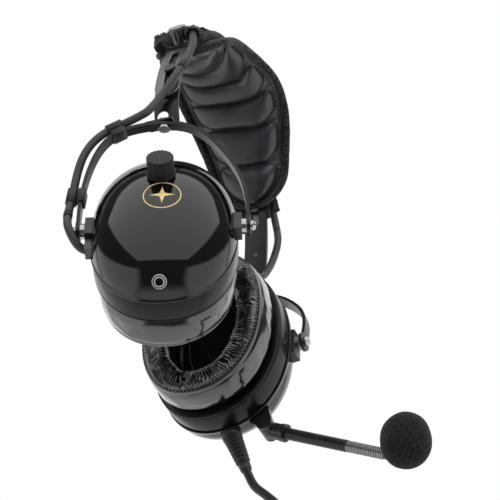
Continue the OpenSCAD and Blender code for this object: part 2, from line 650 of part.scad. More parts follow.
module at_volume() {
    at_cup(true) translate([volume_n, 0, volume_u]) rotate([0, 90 - volume_a, 0]) children();
}
module relief_axis() {
    at_cup(false) translate([0, -2, relief_seat]) rotate([180 - relief_lean, 0, 0]) children();
}
module cup_shell_left() {
    color(gloss) difference() {
        at_cup(false) cup_skin();
        relief_axis() translate([0, 0, -10]) cylinder(d = cord_d + 2, h = 20);
        at_cup(false) translate([gland_n, gland_y, cup_b - 8])
            cylinder(d = link_d + 2 * seat_gap, h = 20);
    }
}
module cup_shell_right() {
    color(gloss) difference() {
        at_cup(true) cup_skin();
        at_jack() cylinder(d = jack_body_d + 2 * fit_gap, h = 12, center = true);
        at_volume() cylinder(d = bush_d + 2 * fit_gap, h = 12, center = true);
        at_cup(true) translate([clip_n, cup_a - 8, clip_u]) rotate([-90, 0, 0])
            cylinder(d = link_d + 2 * face_gap, h = 20);
    }
}
floor_t = 2.5;
band_n = rim_n - band_d;
port_d = 34;
module back_plate(right) {
    wall = 3;
    color(black) at_cup(right) {
        translate([band_n, 0, 0]) facing() difference() {
            linear_extrude(band_d) cup_outline(0);
            translate([0, 0, floor_t]) linear_extrude(band_d) cup_outline(wall);
            translate([0, 0, -1]) cylinder(d = port_d, h = floor_t + 2);
        }
    }
}
// Ear seal: a rounded roll swept round the cup's outline
seal_in = 1.5;
function seal_mid(f) = let(in = seal_in + seal_w / 2)
    [(cup_a - in) * spow(cos(f), cup_k), (cup_b - in) * spow(sin(f), cup_k)];
function seal_n(f) = let(d = seal_mid(f + 0.7) - seal_mid(f - 0.7), t = d / norm(d)) [t[1], -t[0]];
SEAL_SIDES = 12;
function seal_pt(f, k) = let(g = 360 * (k + 0.5) / SEAL_SIDES, m = seal_mid(f), nv = seal_n(f),
    x = seal_w / 2 * spow(cos(g), 2.6), y = max(-seal_d / 2, seal_d * 0.53 * spow(sin(g), 2.6)))
    [band_n - seal_d / 2 - y, m[0] + nv[0] * x, m[1] + nv[1] * x];
module ear_seal(right) {
    n = SEAL_SIDES;
    pts = [for (j = [0:cup_n - 1], k = [0:n - 1]) seal_pt(360 * (j + 0.5) / cup_n, k)];
    function at(j, k) = (j % cup_n) * n + k % n;
    color(gloss) at_cup(right) polyhedron(pts, concat(
        [for (j = [0:cup_n - 1], k = [0:n - 1]) [at(j, k), at(j + 1, k), at(j, k + 1)]],
        [for (j = [0:cup_n - 1], k = [0:n - 1]) [at(j, k + 1), at(j + 1, k), at(j + 1, k + 1)]]));
}
module foam_liner(right) {
    liner_t = 3;
    in = seal_in + seal_w + 1;
    color(foam) at_cup(right) translate([band_n - liner_t - seat_gap, 0, 0]) facing()
        linear_extrude(liner_t) cup_outline(in);
}
module speaker(right) {
    color(steel) at_cup(right) translate([band_n + floor_t + seat_gap, 0, 0]) rotate([0, 90, 0]) {
        difference() {
            cylinder(d = port_d + 5, h = 4);
            translate([0, 0, -1]) cylinder(d = port_d - 2, h = 3);
        }
        translate([0, 0, 4 - eps]) cylinder(d = port_d - 10, h = 6);
    }
}
block_n = [-5, 4];
pivot_face = stirrup_hw - stirrup_t / 2 - face_gap - 2.5;
module pivot_blocks(right) {
    low = right ? -6 : -10;
    high = 7.5;
    color(black) at_cup(right) for (s = [1, -1]) difference() {
        translate([block_n[0], s > 0 ? cup_a - 6 : -pivot_face, low])
            cube([block_n[1] - block_n[0], pivot_face - cup_a + 6, high - low]);
        dome_solid(0);
        rotate([90, 0, 0]) cylinder(d = pivot_d + 2 * fit_gap, h = 120, center = true);
    }
}
module pivot_screws(right) {
    washer_d = 9;
    head_d = 6;
    out_y = stirrup_hw + stirrup_t / 2 + face_gap;
    color(bright) at_cup(right) for (s = [1, -1]) rotate([-90 * s, 0, 0]) {
        translate([0, 0, cup_a + 0.3]) cylinder(d = pivot_d, h = out_y - cup_a - 0.3 + eps);
        translate([0, 0, out_y]) cylinder(d = head_d, h = 1);
        translate([0, 0, out_y + 1 - eps]) cylinder(d1 = head_d, d2 = head_d * 0.6, h = 1.6, $fn = 32);
        difference() {
            translate([0, 0, pivot_face]) cylinder(d = washer_d, h = 2.5);
            cylinder(d = pivot_d + 2 * fit_gap, h = 60);
        }
    }
}
module cable_gland_left() {
    color(black) at_cup(false) difference() {
        translate([gland_n, gland_y, cup_b - 5]) cylinder(d = link_d + 4, h = 8);
        cup_body();
        translate([gland_n, gland_y, cup_b - 8]) cylinder(d = link_d + 2 * seat_gap, h = 20);
    }
}
module p_clip_right() {
    plate = [8, 3.6, 9];
    outer = cup_a + 2.2;
    color(bright) at_cup(true) difference() {
        union() {
            translate([clip_n - plate[0] / 2, outer - plate[1] - 2, clip_u - plate[2] / 2])
                cube([plate[0], plate[1] + 2, plate[2]]);
            for (s = [1, -1]) translate([clip_n, outer, clip_u + s * 3.6]) rotate([-90, 0, 0])
                cylinder(d = 1.6, h = 0.8, $fn = 32);
        }
        cup_body();
        translate([clip_n, cup_a - 8, clip_u]) rotate([-90, 0, 0])
            cylinder(d = link_d + 2 * face_gap, h = 20);
    }
}
// ---- Headphone jack and volume control ----
jack_body_d = 6;
jack_deep = 14;
module jack_socket() {
    flange_d = 6.8;
    flange_t = 1;
    color(bright) at_jack() difference() {
        union() {
            translate([0, 0, seat_gap]) cylinder(d = flange_d, h = flange_t);
            translate([0, 0, -jack_deep]) cylinder(d = jack_body_d, h = jack_deep + seat_gap + eps);
        }
        translate([0, 0, 1.5 - jack_deep]) cylinder(d = jack_d, h = jack_deep + 2);
    }
}
bush_d = 9;
module volume_pot() {
    pot_d = 16;
    pot_top = -shell_t - 1.5;
    color(bright) at_volume() difference() {
        union() {
            translate([0, 0, pot_top - 9]) cylinder(d = pot_d, h = 9);
            translate([0, 0, pot_top - eps]) cylinder(d = bush_d, h = -pot_top + 0.3);
        }
        translate([0, 0, pot_top - 6]) cylinder(d = shaft_d + 2 * fit_gap, h = 20);
    }
}
module volume_knob() {
    flutes = 20;
    skirt_h = 1.6;
    seat = 0.8;
    color(black) at_volume() {
        difference() {
            translate([0, 0, seat]) union() {
                cylinder(d = volume_d + 1.4, h = skirt_h);
                translate([0, 0, skirt_h - eps]) cylinder(d = volume_d, h = volume_h - skirt_h);
            }
            for (i = [0:flutes - 1]) rotate([0, 0, 360 * i / flutes])
                translate([volume_d / 2 + 0.5, 0, seat + skirt_h + 0.4])
                cylinder(r = 0.9, h = volume_h, $fn = 16);
            cylinder(d = shaft_d, h = volume_h - 1.5);
        }
        translate([0, 0, -shell_t - 1.5 - 5.7]) cylinder(d = shaft_d, h = volume_h + shell_t + 5.7);
    }
}

// ---- Boom ----
hub_n = 5;
hub_y = -24;
hub_u = -54;
hub_r = 4.8;
hub_t = 2 * hub_r;
spigot_d = 4;
module at_hub() {
    at_cup(false) translate([hub_n, hub_y, hub_u]) rotate([boom_slope, 0, 0]) children();
}
// Rings along the boom, from r0 at y0 to y1 forward of the hub
module along(y0, y1, d) {
    translate([0, -y0, 0]) rotate([90, 0, 0]) cylinder(d = d, h = y1 - y0);
}
module boom_mount() {
    lug_t = 3.2;
    low = hub_n - hub_t / 2 - face_gap;
    over = low + hub_t + 2 * face_gap;
    color(black) at_cup(false) difference() {
        union() {
            translate([low - lug_t, 0, 0]) facing() linear_extrude(lug_t) union() {
                translate([hub_y, hub_u]) circle(r = hub_r);
                polygon([[hub_y - 4.7, hub_u + 1], [hub_y - 1.5, hub_u + 16],
                    [hub_y + 12, hub_u + 12], [hub_y + 10, hub_u + 4], [hub_y + 1.5, hub_u - 4.5]]);
            }
            translate([low - eps, hub_y, hub_u]) rotate([0, 90, 0])
                cylinder(d = spigot_d, h = over - low + 2 * eps);
            translate([over, hub_y, hub_u]) rotate([0, 90, 0]) cylinder(d = spigot_d + 2, h = 1);
        }
        cup_body();
    }
}
module boom_hub() {
    collar_end = 12;
    color(black) at_hub() difference() {
        union() {
            translate([-hub_t / 2, 0, 0]) rotate([0, 90, 0]) cylinder(r = hub_r, h = hub_t);
            along(0, collar_end - 2.5, 2 * hub_r);
            along(collar_end - 3, collar_end, 2 * hub_r + 0.8);
        }
        rotate([0, 90, 0]) cylinder(d = spigot_d + 2 * fit_gap, h = 20, center = true);
        along(hub_r + 1, collar_end + 1, boom_d);
    }
}
module boom_tube() {
    color(black) at_hub() along(hub_r + 1, boom_len, boom_d);
}
neck_end = boom_len + 25;
module gooseneck() {
    pitch = 1.6;
    color(steel) at_hub() {
        along(boom_len, neck_end, boom_d - 1.2);
        for (y = [boom_len + 0.4:pitch:neck_end - 1]) along(y, y + pitch * 0.6, boom_d - 0.4);
    }
}
mic_up = 10.6;
module at_mic() {
    at_hub() translate([0, -mic_reach, mic_up]) rotate([-boom_slope, 0, 0]) children();
}
elbow_y = -neck_end - 3.6;
stem = [-mic_reach - elbow_y, mic_up];
stem_a = atan2(-stem[0], stem[1]);
module mic_stem(d, grow) {
    at_hub() {
        along(neck_end, -elbow_y, d);
        translate([0, elbow_y, 0]) sphere(d = d + 0.5, $fn = 32);
        translate([0, elbow_y, 0]) rotate([stem_a, 0, 0]) cylinder(d = d - 0.6, h = norm(stem), $fn = 32);
        translate([0, -mic_reach, mic_up]) sphere(d = 11 + grow, $fn = 32);
    }
}
module mic_capsule() {
    color(black) mic_stem(boom_d - 1, 0);
}
module windscreen() {
    color(foam) difference() {
        at_mic() rotate_extrude($fn = 64) polygon(concat([[0, -foam_h / 2 * 0.93]],
            [for (a = [-68:8:84]) [foam_d / 2 * spow(cos(a), 2.15), foam_h / 2 * spow(sin(a), 2.15)]],
            [[0, foam_h / 2]]));
        mic_stem(boom_d - 0.6, 0.4);
        at_hub() along(60, neck_end + 0.2, boom_d + 0.2);
    }
}

// ---- Cord ----
relief_lean = 20;
relief_seat = -53;
module strain_relief() {
    r = cord_d / 2;
    bore = r + 0.4;
    ribs = 7;
    rib_at = 7;
    rib_step = 2.5;
    color(black) difference() {
        relief_axis() rotate_extrude($fn = 48) polygon(concat(
            [[bore, -4], [r + 4.4, -4], [r + 4.4, 5], [r + 3, 6]],
            [for (i = [0:ribs - 1]) each let(z = rib_at + i * rib_step, k = 3 - 0.2 * i)
                [[r + k - 0.9, z], [r + k, z + 0.3], [r + k, z + 1.3], [r + k - 0.9, z + 1.6]]],
            [[r + 1.4, rib_at + ribs * rib_step], [r + 1.9, rib_at + ribs * rib_step + 1],
            [r + 0.8, relief_len - 0.6], [bore, relief_len]]));
        at_cup(false) cup_body();
    }
}
coil_x = RUN[len(RUN) - 1][0];
coil_y = RUN[len(RUN) - 1][1] + cord_d;
coil_z = RUN[len(RUN) - 1][2] - coil_r;
coil_half = 360 * coil_turns;
coil_past = 40;
coil_end = 2 * coil_half + coil_past;
function smooth(t) = let(c = min(1, max(0, t))) c * c * (3 - 2 * c);
// Turns spiral in, step over to the next layer, and spiral out again
function coil_pt(a) = let(in = coil_r - coil_step * coil_half / 360,
    r = in + coil_step * abs(a - coil_half) / 360,
    x = coil_step * smooth((a - coil_half + 90) / 180))
    [coil_x + x, coil_y + r * sin(a), coil_z + r * cos(a)];
coil_out = unit(coil_pt(coil_end) - coil_pt(coil_end - 1));
coil_path = concat([RUN[len(RUN) - 1]], [for (a = [0:15:coil_end - 5]) coil_pt(a)],
    [coil_pt(coil_end), coil_pt(coil_end) + cord_d * coil_out]);
tail_len = 24;
fork_from = coil_pt(coil_end) + tail_len * coil_out;
fork_len = 26;
fork_to = fork_from + fork_len * coil_out;
lead_apart = 3.6;
run_path = spline(RUN, 2);
tail_path = [coil_path[len(coil_path) - 1], fork_from];
module cord_run() {
    color(cable) tube(run_path, cord_d, 8, [1, 0, 0]);
}
module cord_coil() {
    color(cable) tube(coil_path, cord_d, 6, [1, 0, 0]);
}
module cord_tail() {
    color(cable) tube(tail_path, cord_d, 8, [1, 0, 0]);
}
function near(p, i) = min([for (j = [0:len(p) - 1]) if (abs(j - i) > 12) norm(p[j] - p[i])]);
coil_gap = min([for (i = [0:len(coil_path) - 1]) near(coil_path, i)]) - cord_d;
echo(str("least gap of the coil to itself: ", coil_gap, " mm"));
echo(str("main cord: ", path_len(run_path) + path_len(coil_path) + path_len(tail_path),
    " mm, leads: ", path_len(spline(LEAD_P, 2)), " and ", path_len(spline(LEAD_M, 2)), " mm"));
module coil_tie() {
    wall = 1;
    wide = 8;
    gap = 0.4;
    in = coil_r - coil_step * coil_turns - cord_d / 2 - 3 * gap;
    out = coil_r + coil_step / 2 + cord_d / 2 + gap;
    thick = coil_step + cord_d + 2 * gap;
    color(black) translate([coil_x + coil_step / 2, coil_y, coil_z]) difference() {
        translate([-thick / 2 - wall, -wide / 2, -out - wall])
            cube([thick + 2 * wall, wide, out - in + 2 * wall]);
        translate([-thick / 2, -wide, -out]) cube([thick, 2 * wide, out - in]);
    }
}
fork_a = atan2(-coil_out[2], coil_out[1]);
module at_fork() {
    translate(fork_from) rotate([-fork_a, 0, 0]) children();
}
module cord_splitter() {
    deep = 8;
    color(black) at_fork() translate([0, 0, -deep / 2]) linear_extrude(deep)
        polygon([[-3.6, 0], [3.6, 0], [4.4, 4], [7.4, 14], [7.4, fork_len], [-7.4, fork_len],
            [-7.4, 14], [-4.4, 4]]);
}
function lead_path(pts, side_x) = [for (p = spline(pts, 2)) fork_to + [side_x, 0, 0] + p];
path_p = lead_path(LEAD_P, -lead_apart);
path_m = lead_path(LEAD_M, lead_apart);
echo(str("plug phones at ", path_p[len(path_p) - 1], ", plug mic at ", path_m[len(path_m) - 1]));
module lead_phones() {
    color(cable) tube(path_p, lead_d, 8, [1, 0, 0]);
}
module lead_mic() {
    color(cable) tube(path_m, lead_d, 8, [1, 0, 0]);
}
plug_grip_len = 33;
module plug(pin_d, pin_len) {
    r = pin_d / 2;
    tip = 4;
    g = plug_grip_len;
    rotate([180, 0, 0]) rotate_extrude() polygon([[0, 0], [lead_d / 2 + 1, 0], [lead_d / 2 + 1.8, 8],
        [5.6, 10], [6, 11], [6, g - 3], [5.4, g - 2], [4.6, g - 2], [4.6, g], [r, g],
        [r, g + pin_len - tip], [r - 0.9, g + pin_len - tip + 0.6], [r - 0.3, g + pin_len - tip + 1.6],
        [r * 0.4, g + pin_len], [0, g + pin_len]]);
}
module plug_phones() {
    color(bright) translate(path_p[len(path_p) - 1]) plug(plug_d, 28);
}
module plug_mic() {
    color(bright) translate(path_m[len(path_m) - 1]) plug(mic_plug_d, 26);
}

band_strap();
head_pad();
pad_cover();
pad_sleeve();
clamp_bolts();
cable_crown();
adjuster_knob(false);  // adjuster_knob_left
adjuster_knob(true);  // adjuster_knob_right
hanger(false);  // hanger_left
hanger(true);  // hanger_right
hanger_screws(false);  // hanger_screws_left
hanger_screws(true);  // hanger_screws_right
stirrup(false);  // stirrup_left
stirrup(true);  // stirrup_right
cable_clips_right();
link_cable_left();
link_cable_right();
cup_shell_left();
cup_shell_right();
back_plate(false);  // back_plate_left
back_plate(true);  // back_plate_right
ear_seal(false);  // ear_seal_left
ear_seal(true);  // ear_seal_right
foam_liner(false);  // foam_liner_left
foam_liner(true);  // foam_liner_right
speaker(false);  // speaker_left
speaker(true);  // speaker_right
pivot_blocks(false);  // pivot_blocks_left
pivot_blocks(true);  // pivot_blocks_right
pivot_screws(false);  // pivot_screws_left
pivot_screws(true);  // pivot_screws_right
cable_gland_left();
p_clip_right();
jack_socket();
volume_pot();
volume_knob();
boom_mount();
boom_hub();
boom_tube();
gooseneck();
mic_capsule();
windscreen();
strain_relief();
cord_run();
cord_coil();
cord_tail();
coil_tie();
cord_splitter();
lead_phones();
lead_mic();
plug_phones();
plug_mic();
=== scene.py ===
import json
import math
import bmesh
import bpy
import numpy as np
from mathutils import Matrix, Vector, noise

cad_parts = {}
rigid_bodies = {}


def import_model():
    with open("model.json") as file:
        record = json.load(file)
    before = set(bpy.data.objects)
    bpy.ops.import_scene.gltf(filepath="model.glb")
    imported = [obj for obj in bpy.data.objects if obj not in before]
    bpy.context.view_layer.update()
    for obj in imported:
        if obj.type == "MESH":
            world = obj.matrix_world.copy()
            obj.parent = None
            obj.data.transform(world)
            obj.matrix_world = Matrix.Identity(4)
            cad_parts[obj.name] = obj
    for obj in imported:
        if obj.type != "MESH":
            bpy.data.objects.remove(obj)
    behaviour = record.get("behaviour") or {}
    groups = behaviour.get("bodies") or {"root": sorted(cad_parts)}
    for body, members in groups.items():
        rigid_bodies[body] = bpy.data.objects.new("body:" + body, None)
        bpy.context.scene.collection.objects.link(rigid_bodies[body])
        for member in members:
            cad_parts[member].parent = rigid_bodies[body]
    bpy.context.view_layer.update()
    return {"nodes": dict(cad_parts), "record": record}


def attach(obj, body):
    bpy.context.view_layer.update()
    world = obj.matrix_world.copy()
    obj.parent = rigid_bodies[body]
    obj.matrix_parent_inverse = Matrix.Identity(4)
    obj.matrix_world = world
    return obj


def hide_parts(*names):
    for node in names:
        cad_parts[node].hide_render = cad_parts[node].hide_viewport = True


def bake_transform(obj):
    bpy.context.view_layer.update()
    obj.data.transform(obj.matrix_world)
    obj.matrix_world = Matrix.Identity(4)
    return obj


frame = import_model()

# ---- Camera ----
# A long lens looks up at the hanging headset from below, past the wearer's right cup,
# with the far cup open towards it.
def add(name, data):
    """A new object in the scene."""
    thing = bpy.data.objects.new(name, data)
    bpy.context.scene.collection.objects.link(thing)
    return thing


view_back = Vector((-0.6404, -0.2747, -0.7173)).normalized()
view_right = Vector((-0.6972, -0.1839, 0.6929)).cross(view_back).normalized()
view_up = view_back.cross(view_right)
camera = add("camera", bpy.data.cameras.new("camera"))
camera.data.lens = 128.08
camera.data.sensor_width = 36
camera.data.clip_start = 0.02
camera.matrix_world = Matrix.Translation((-0.6592, -0.3116, -0.8928)) @ Matrix(
    (view_right, view_up, view_back)).transposed().to_4x4()
bpy.context.scene.camera = camera

# ---- Main cord ----
# One round PVC cord of 1.17 m leaves the left cup, and its unused length is wound into a
# flat coil of two layers, spiralling in and out again.
MM = 0.001


def unit(v):
    return np.asarray(v, float) / np.linalg.norm(v)


def circle(count):
    """Angles evenly round a circle, the last one short of the first."""
    return np.linspace(0, 2 * np.pi, count, endpoint=False)


def smooth_line(points, steps):
    """A Catmull-Rom line through given points."""
    p = np.asarray(points, float)
    line = []
    for i in range(len(p) - 1):
        a, b, c, d = p[max(i - 1, 0)], p[i], p[i + 1], p[min(i + 2, len(p) - 1)]
        for t in np.arange(steps) / steps:
            line.append(0.5 * (2 * b + (c - a) * t + (2 * a - 5 * b + 4 * c - d) * t ** 2
                               + (3 * b - a - 3 * c + d) * t ** 3))
    return np.array(line + [p[-1]])


def skin(name, rings, finish, ends=True, loop=False, round_ends=False):
    """A closed skin over rings of points in millimetres, with a UV map in metres."""
    rings = np.asarray(rings, float) * MM
    m, n = rings.shape[:2]
    step = np.linalg.norm(rings - np.roll(rings, 1, 0), axis=2).mean(1)
    along = np.concatenate([[0], np.cumsum(step[1:]), [step[1:].sum() + step[0]]])
    middle = rings[m // 2]
    around = np.concatenate([[0], np.cumsum(np.linalg.norm(np.roll(middle, -1, 0) - middle, axis=1))])
    rows = np.arange(m if loop else m - 1)
    i, j = [x.ravel() for x in np.meshgrid(rows, np.arange(n), indexing="ij")]
    corners = [(i, j), (i, j + 1), (i + 1, j + 1), (i + 1, j)]
    faces = np.stack([(a % m) * n + b % n for a, b in corners], 1).tolist()
    uv = np.stack([np.stack([along[a], around[b]], 1) for a, b in corners], 1).tolist()
    points = rings.reshape(-1, 3)
    if ends and not loop:
        for row, turn in ((0, 1), (m - 1, -1)):
            points = np.vstack([points, rings[row].mean(0)])
            for b in range(n):
                faces.append([row * n + (b + 1) % n, row * n + b, len(points) - 1][::turn])
                uv.append([[along[row], around[b + 1]], [along[row], around[b]], [along[row], 0]][::turn])
    fan = [(f[0], f[k], f[k + 1]) for f in faces for k in range(1, len(f) - 1)]
    p = points[np.array(fan)]
    if np.einsum("ij,ij->i", p[:, 0], np.cross(p[:, 1], p[:, 2])).sum() < 0:
        faces = [f[::-1] for f in faces]
        uv = [f[::-1] for f in uv]
    mesh = bpy.data.meshes.new(name)
    mesh.from_pydata(points.tolist(), [], faces)
    mesh.uv_layers.new(name="length").data.foreach_set(
        "uv", np.array([c for f in uv for c in f], dtype=np.float32).ravel())
    mesh.polygons.foreach_set("use_smooth", [len(f) == 4 or round_ends for f in faces])
    mesh.materials.append(finish)
    return add(name, mesh)


def tube_rings(path, radius, sides=16, side=(0, 1, 0)):
    """Rings of a round tube along a line, carried without twist."""
    path = np.asarray(path, float)
    run = [unit(path[min(k + 1, len(path) - 1)] - path[max(k - 1, 0)]) for k in range(len(path))]
    angle = circle(sides)[:, None]
    radius = np.broadcast_to(radius, len(path))
    v, rings = np.asarray(side, float), []
    for p, t, r in zip(path, run, radius):
        v = unit(v - (v @ t) * t)
        rings.append(p + r * (np.cos(angle) * v + np.sin(angle) * np.cross(t, v)))
    return np.array(rings)


def tube(name, path, radius, finish, sides=16, side=(0, 1, 0)):
    return skin(name, tube_rings(path, radius, sides, side), finish)


def settle(piece, body, slot, *stands_for, soft=None):
    """Attaches a piece to the body it rides and hides the solids it stands for; slot and soft are not used.
    """
    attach(piece, body)
    if stands_for:
        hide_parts(*stands_for)
    return piece


class Value:
    """A value in a shader; an expression on values adds its Math nodes."""

    def __init__(self, owner, socket):
        self.owner, self.socket = owner, socket

    def maths(self, operation, *ends):
        ends = {f"i{k}": end for k, end in enumerate(ends)}
        return Value(self.owner, node(self.owner, "Math", dict(operation=operation), **ends).outputs[0])

    def __add__(self, other):
        return self.maths("ADD", self, other)

    def __mul__(self, other):
        return self.maths("MULTIPLY", self, other)

    def __sub__(self, other):
        return self.maths("SUBTRACT", self, other)

    def __rsub__(self, other):
        return self.maths("SUBTRACT", other, self)

    def __abs__(self):
        return self.maths("ABSOLUTE", self)

    __radd__, __rmul__ = __add__, __mul__


def node(owner, kind, settings=None, **inputs):
    """Adds a node to a material, the world or a node group; inputs are values or sockets."""
    tree = getattr(owner, "node_tree", owner)
    new = tree.nodes.new(kind if kind.startswith("Geometry") else "ShaderNode" + kind)
    for key, value in (settings or {}).items():
        setattr(new, key, value)
    for key, value in inputs.items():
        numbered = key[0] == "i" and key[1:].isdigit()
        socket = new.inputs[int(key[1:]) if numbered else key.replace("_", " ")]
        value = value.socket if isinstance(value, Value) else value
        if isinstance(value, bpy.types.NodeSocket):
            tree.links.new(value, socket)
        else:
            socket.default_value = value
    return new


def material(name, shade, rough, metal=0.0, **more):
    """A plain shader of one grey or colour, for patterns to be laid on."""
    mat = bpy.data.materials.new(name)
    mat.use_nodes = True
    shader = mat.node_tree.nodes["Principled BSDF"]
    colour = (shade,) * 3 if isinstance(shade, float) else shade
    mat.diffuse_color = (*colour, 1)
    for key, value in dict(Base_Color=(*colour, 1), Roughness=rough, Metallic=metal, **more).items():
        shader.inputs[key.replace("_", " ")].default_value = value
    return mat


def grain(mat, size, depth, shades=None, rough=None, patch=0.02, stretch=(1, 1, 1), where="Object",
          detail=3.0, cells=False):
    """Surface grain of a size and depth in metres; shades and roughness drift over larger patches."""
    shader = mat.node_tree.nodes["Principled BSDF"]
    join = mat.node_tree.links.new
    coords = node(mat, "TexCoord").outputs[where]
    placed = node(mat, "Mapping", Vector=coords, Scale=stretch).outputs["Vector"]
    if cells:
        height = node(mat, "TexVoronoi", Vector=placed, Scale=1 / size).outputs["Distance"]
    else:
        height = node(mat, "TexNoise", Vector=placed, Scale=1 / size, Detail=detail).outputs[0]
    bump = node(mat, "Bump", Height=height, Strength=1.0, Distance=depth)
    join(bump.outputs["Normal"], shader.inputs["Normal"])
    drift = node(mat, "TexNoise", Vector=coords, Scale=1 / patch, Detail=4.0).outputs[0]
    if shades:
        ramp = node(mat, "ValToRGB", Fac=height if cells else drift)
        for stop, place, shade in zip(ramp.color_ramp.elements, (0.3, 0.7), shades):
            stop.position = place
            stop.color = (shade, shade, shade, 1) if isinstance(shade, float) else (*shade, 1)
        join(ramp.outputs["Color"], shader.inputs["Base Color"])
    if rough:
        spread = node(mat, "MapRange", Value=drift, From_Min=0.3, From_Max=0.7, To_Min=rough[0],
                      To_Max=rough[1])
        join(spread.outputs["Result"], shader.inputs["Roughness"])
    return mat


RUN = [(58.7, -11, -257), (58.8, -13.8, -264), (58.9, -17, -272), (58.9, -21.5, -281),
       (58.7, -29, -289), (58.4, -36, -297), (58, -40.5, -305), (57.5, -42, -313),
       (56.8, -40.5, -321), (56, -36.5, -328), (55.3, -31, -333), (55, -26, -335.5),
       (55, -22, -336)]


def coil_point(a):
    """A point of the coil at a degrees from where the cord comes in at the top."""
    c = min(1, max(0, (a - 990) / 180))
    r = 18.4 + 5.7 * abs(a - 1080) / 360
    return np.array([55 + 5.7 * c * c * (3 - 2 * c), -17 + r * math.sin(math.radians(a)),
                     -371.5 + r * math.cos(math.radians(a))])


coil_out = unit(coil_point(2200) - coil_point(2199))
fork_from = coil_point(2200) + 24 * coil_out
fork_to = fork_from + 26 * coil_out
cord_path = np.vstack([smooth_line(RUN, 5), [coil_point(a) for a in np.arange(0, 2200, 6)],
                       [coil_point(2200) + d * coil_out for d in (0, 5, 12, 24)]])
cord_finish = grain(material("cord jacket", 0.009, 0.36), 0.0006, 0.00002, shades=(0.008, 0.016),
                    rough=(0.3, 0.45), patch=0.03)
main_cord = settle(tube("cord_main", cord_path, 2.5, cord_finish, 18, (1, 0, 0)), "cup_left",
                   "cord jacket", "cord_run", "cord_coil", "cord_tail")

# ---- Leads ----
# Behind the splitter the cord divides into two thinner leads of the same jacket, each to its
# own jack plug.
LEAD_LINE = [(0, 0, 0), (0, 3.9, -3.1), (0.5, 8, -8), (1, 11.5, -16), (2, 13.5, -26), (3.5, 14.5, -40),
             (4.5, 15, -60), (5, 15, -85)]
lead_paths = {}
for use, sign, low_ends in (("phones", -1, (-105, -122)), ("mic", 1, (-100, -112))):
    points = np.array(LEAD_LINE + [(5, 15, z) for z in low_ends]) * [sign, 1, 1]
    lead_paths[use] = smooth_line(points, 4) + fork_to + [3.6 * sign, 0, 0]
    settle(tube("cord_lead_" + use, lead_paths[use], 2.0, cord_finish, 16, (1, 0, 0)), "cup_left",
           "cord jacket", "lead_" + use)

# ---- Jack plugs ----
# A moulded rubber grip with grip rings round a turned, nickel-plated pin with two black
# insulating rings; the microphone's pin is the thinner one.
plug_rubber = grain(material("plug rubber", 0.014, 0.5), 0.0008, 0.00003, shades=(0.01, 0.02))
plug_metal = grain(material("plug metal", 0.62, 0.16, 1.0), 0.0004, 0.000004, rough=(0.12, 0.26),
                   patch=0.004, stretch=(1, 1, 8))
collar_black = grain(material("insulating ring", 0.01, 0.35), 0.0005, 0.00001)


def turned(name, profile, finish, place, sides=48):
    """A turned piece hanging down from place; profile is (radius, depth) pairs."""
    angle = circle(sides)
    rings = [np.stack([r * np.cos(angle), r * np.sin(angle), np.full(sides, -d)], 1) + place
             for r, d in profile]
    return skin(name, rings, finish)


plugs = {}
for use, pin_d, pin_len in (("phones", 6.35, 28), ("mic", 5.23, 26)):
    place, r, end = lead_paths[use][-1], pin_d / 2, 33 + pin_len
    ribs = [(6 - 0.45 * (1 - math.cos(k * math.pi)) / 2, 11.5 + k * 0.9) for k in range(21)]
    grip = turned("plug_grip_" + use, [(2.9, 0), (3.1, 0.3), (3.9, 8), (5.2, 9.6), (5.6, 10.2)] + ribs
                  + [(6, 30), (5.8, 30.7), (5.4, 31), (0.5, 31)], plug_rubber, place)
    pin = turned("plug_pin_" + use, [
        (0.5, 30.8), (4.5, 30.8), (4.6, 31), (4.6, 32.8), (4.4, 33), (r, 33.1), (r, end - 4),
        (r - 0.9, end - 3.4), (r - 0.85, end - 3.1), (r - 0.3, end - 2.4), (r - 0.45, end - 1.4),
        (r * 0.5, end - 0.2), (r * 0.3, end)], plug_metal, place)
    plugs[use] = [grip, pin]
    for k, d in enumerate((end - 13, end - 7.5)):
        ring = [(r - 0.4, d), (r + 0.04, d + 0.1), (r + 0.04, d + 1.1), (r - 0.4, d + 1.2)]
        plugs[use].append(turned(f"plug_ring_{use}_{k}", ring, collar_black, place))
    for piece in plugs[use]:
        settle(piece, "cup_left", "plug metal" if piece == pin else "relief rubber", "plug_" + use)

# ---- Splitter, coil tie and strain relief ----
# The splitter and the ribbed relief sleeve are moulded in black rubber round the cord; the
# tie is a hook-and-loop strap round the bottom of the coil.
home = {name: body for body, names in frame["record"]["behaviour"]["bodies"].items() for name in names}


def dressed(name, finish, slot, bevel, angle=32):
    """The named solid with its curves shaded smooth and its edges broken."""
    mesh = frame["nodes"][name].data.copy()
    bm = bmesh.new()
    bm.from_mesh(mesh)
    bmesh.ops.remove_doubles(bm, verts=bm.verts, dist=2e-6)
    bmesh.ops.dissolve_limit(bm, angle_limit=0.008, verts=bm.verts, edges=bm.edges)
    for face in bm.faces:
        face.smooth = True
        face.material_index = 0
    for edge in bm.edges:
        edge.smooth = len(edge.link_faces) == 2 and edge.calc_face_angle() < math.radians(angle)
    bm.to_mesh(mesh)
    bm.free()
    mesh.materials.clear()
    mesh.materials.append(finish)
    piece = add(name + "_form", mesh)
    edge = piece.modifiers.new("edges", "BEVEL")
    edge.width = bevel * MM
    edge.segments = 2
    edge.limit_method = "ANGLE"
    edge.angle_limit = math.radians(angle)
    edge.harden_normals = True
    return settle(piece, home[name], slot, name)


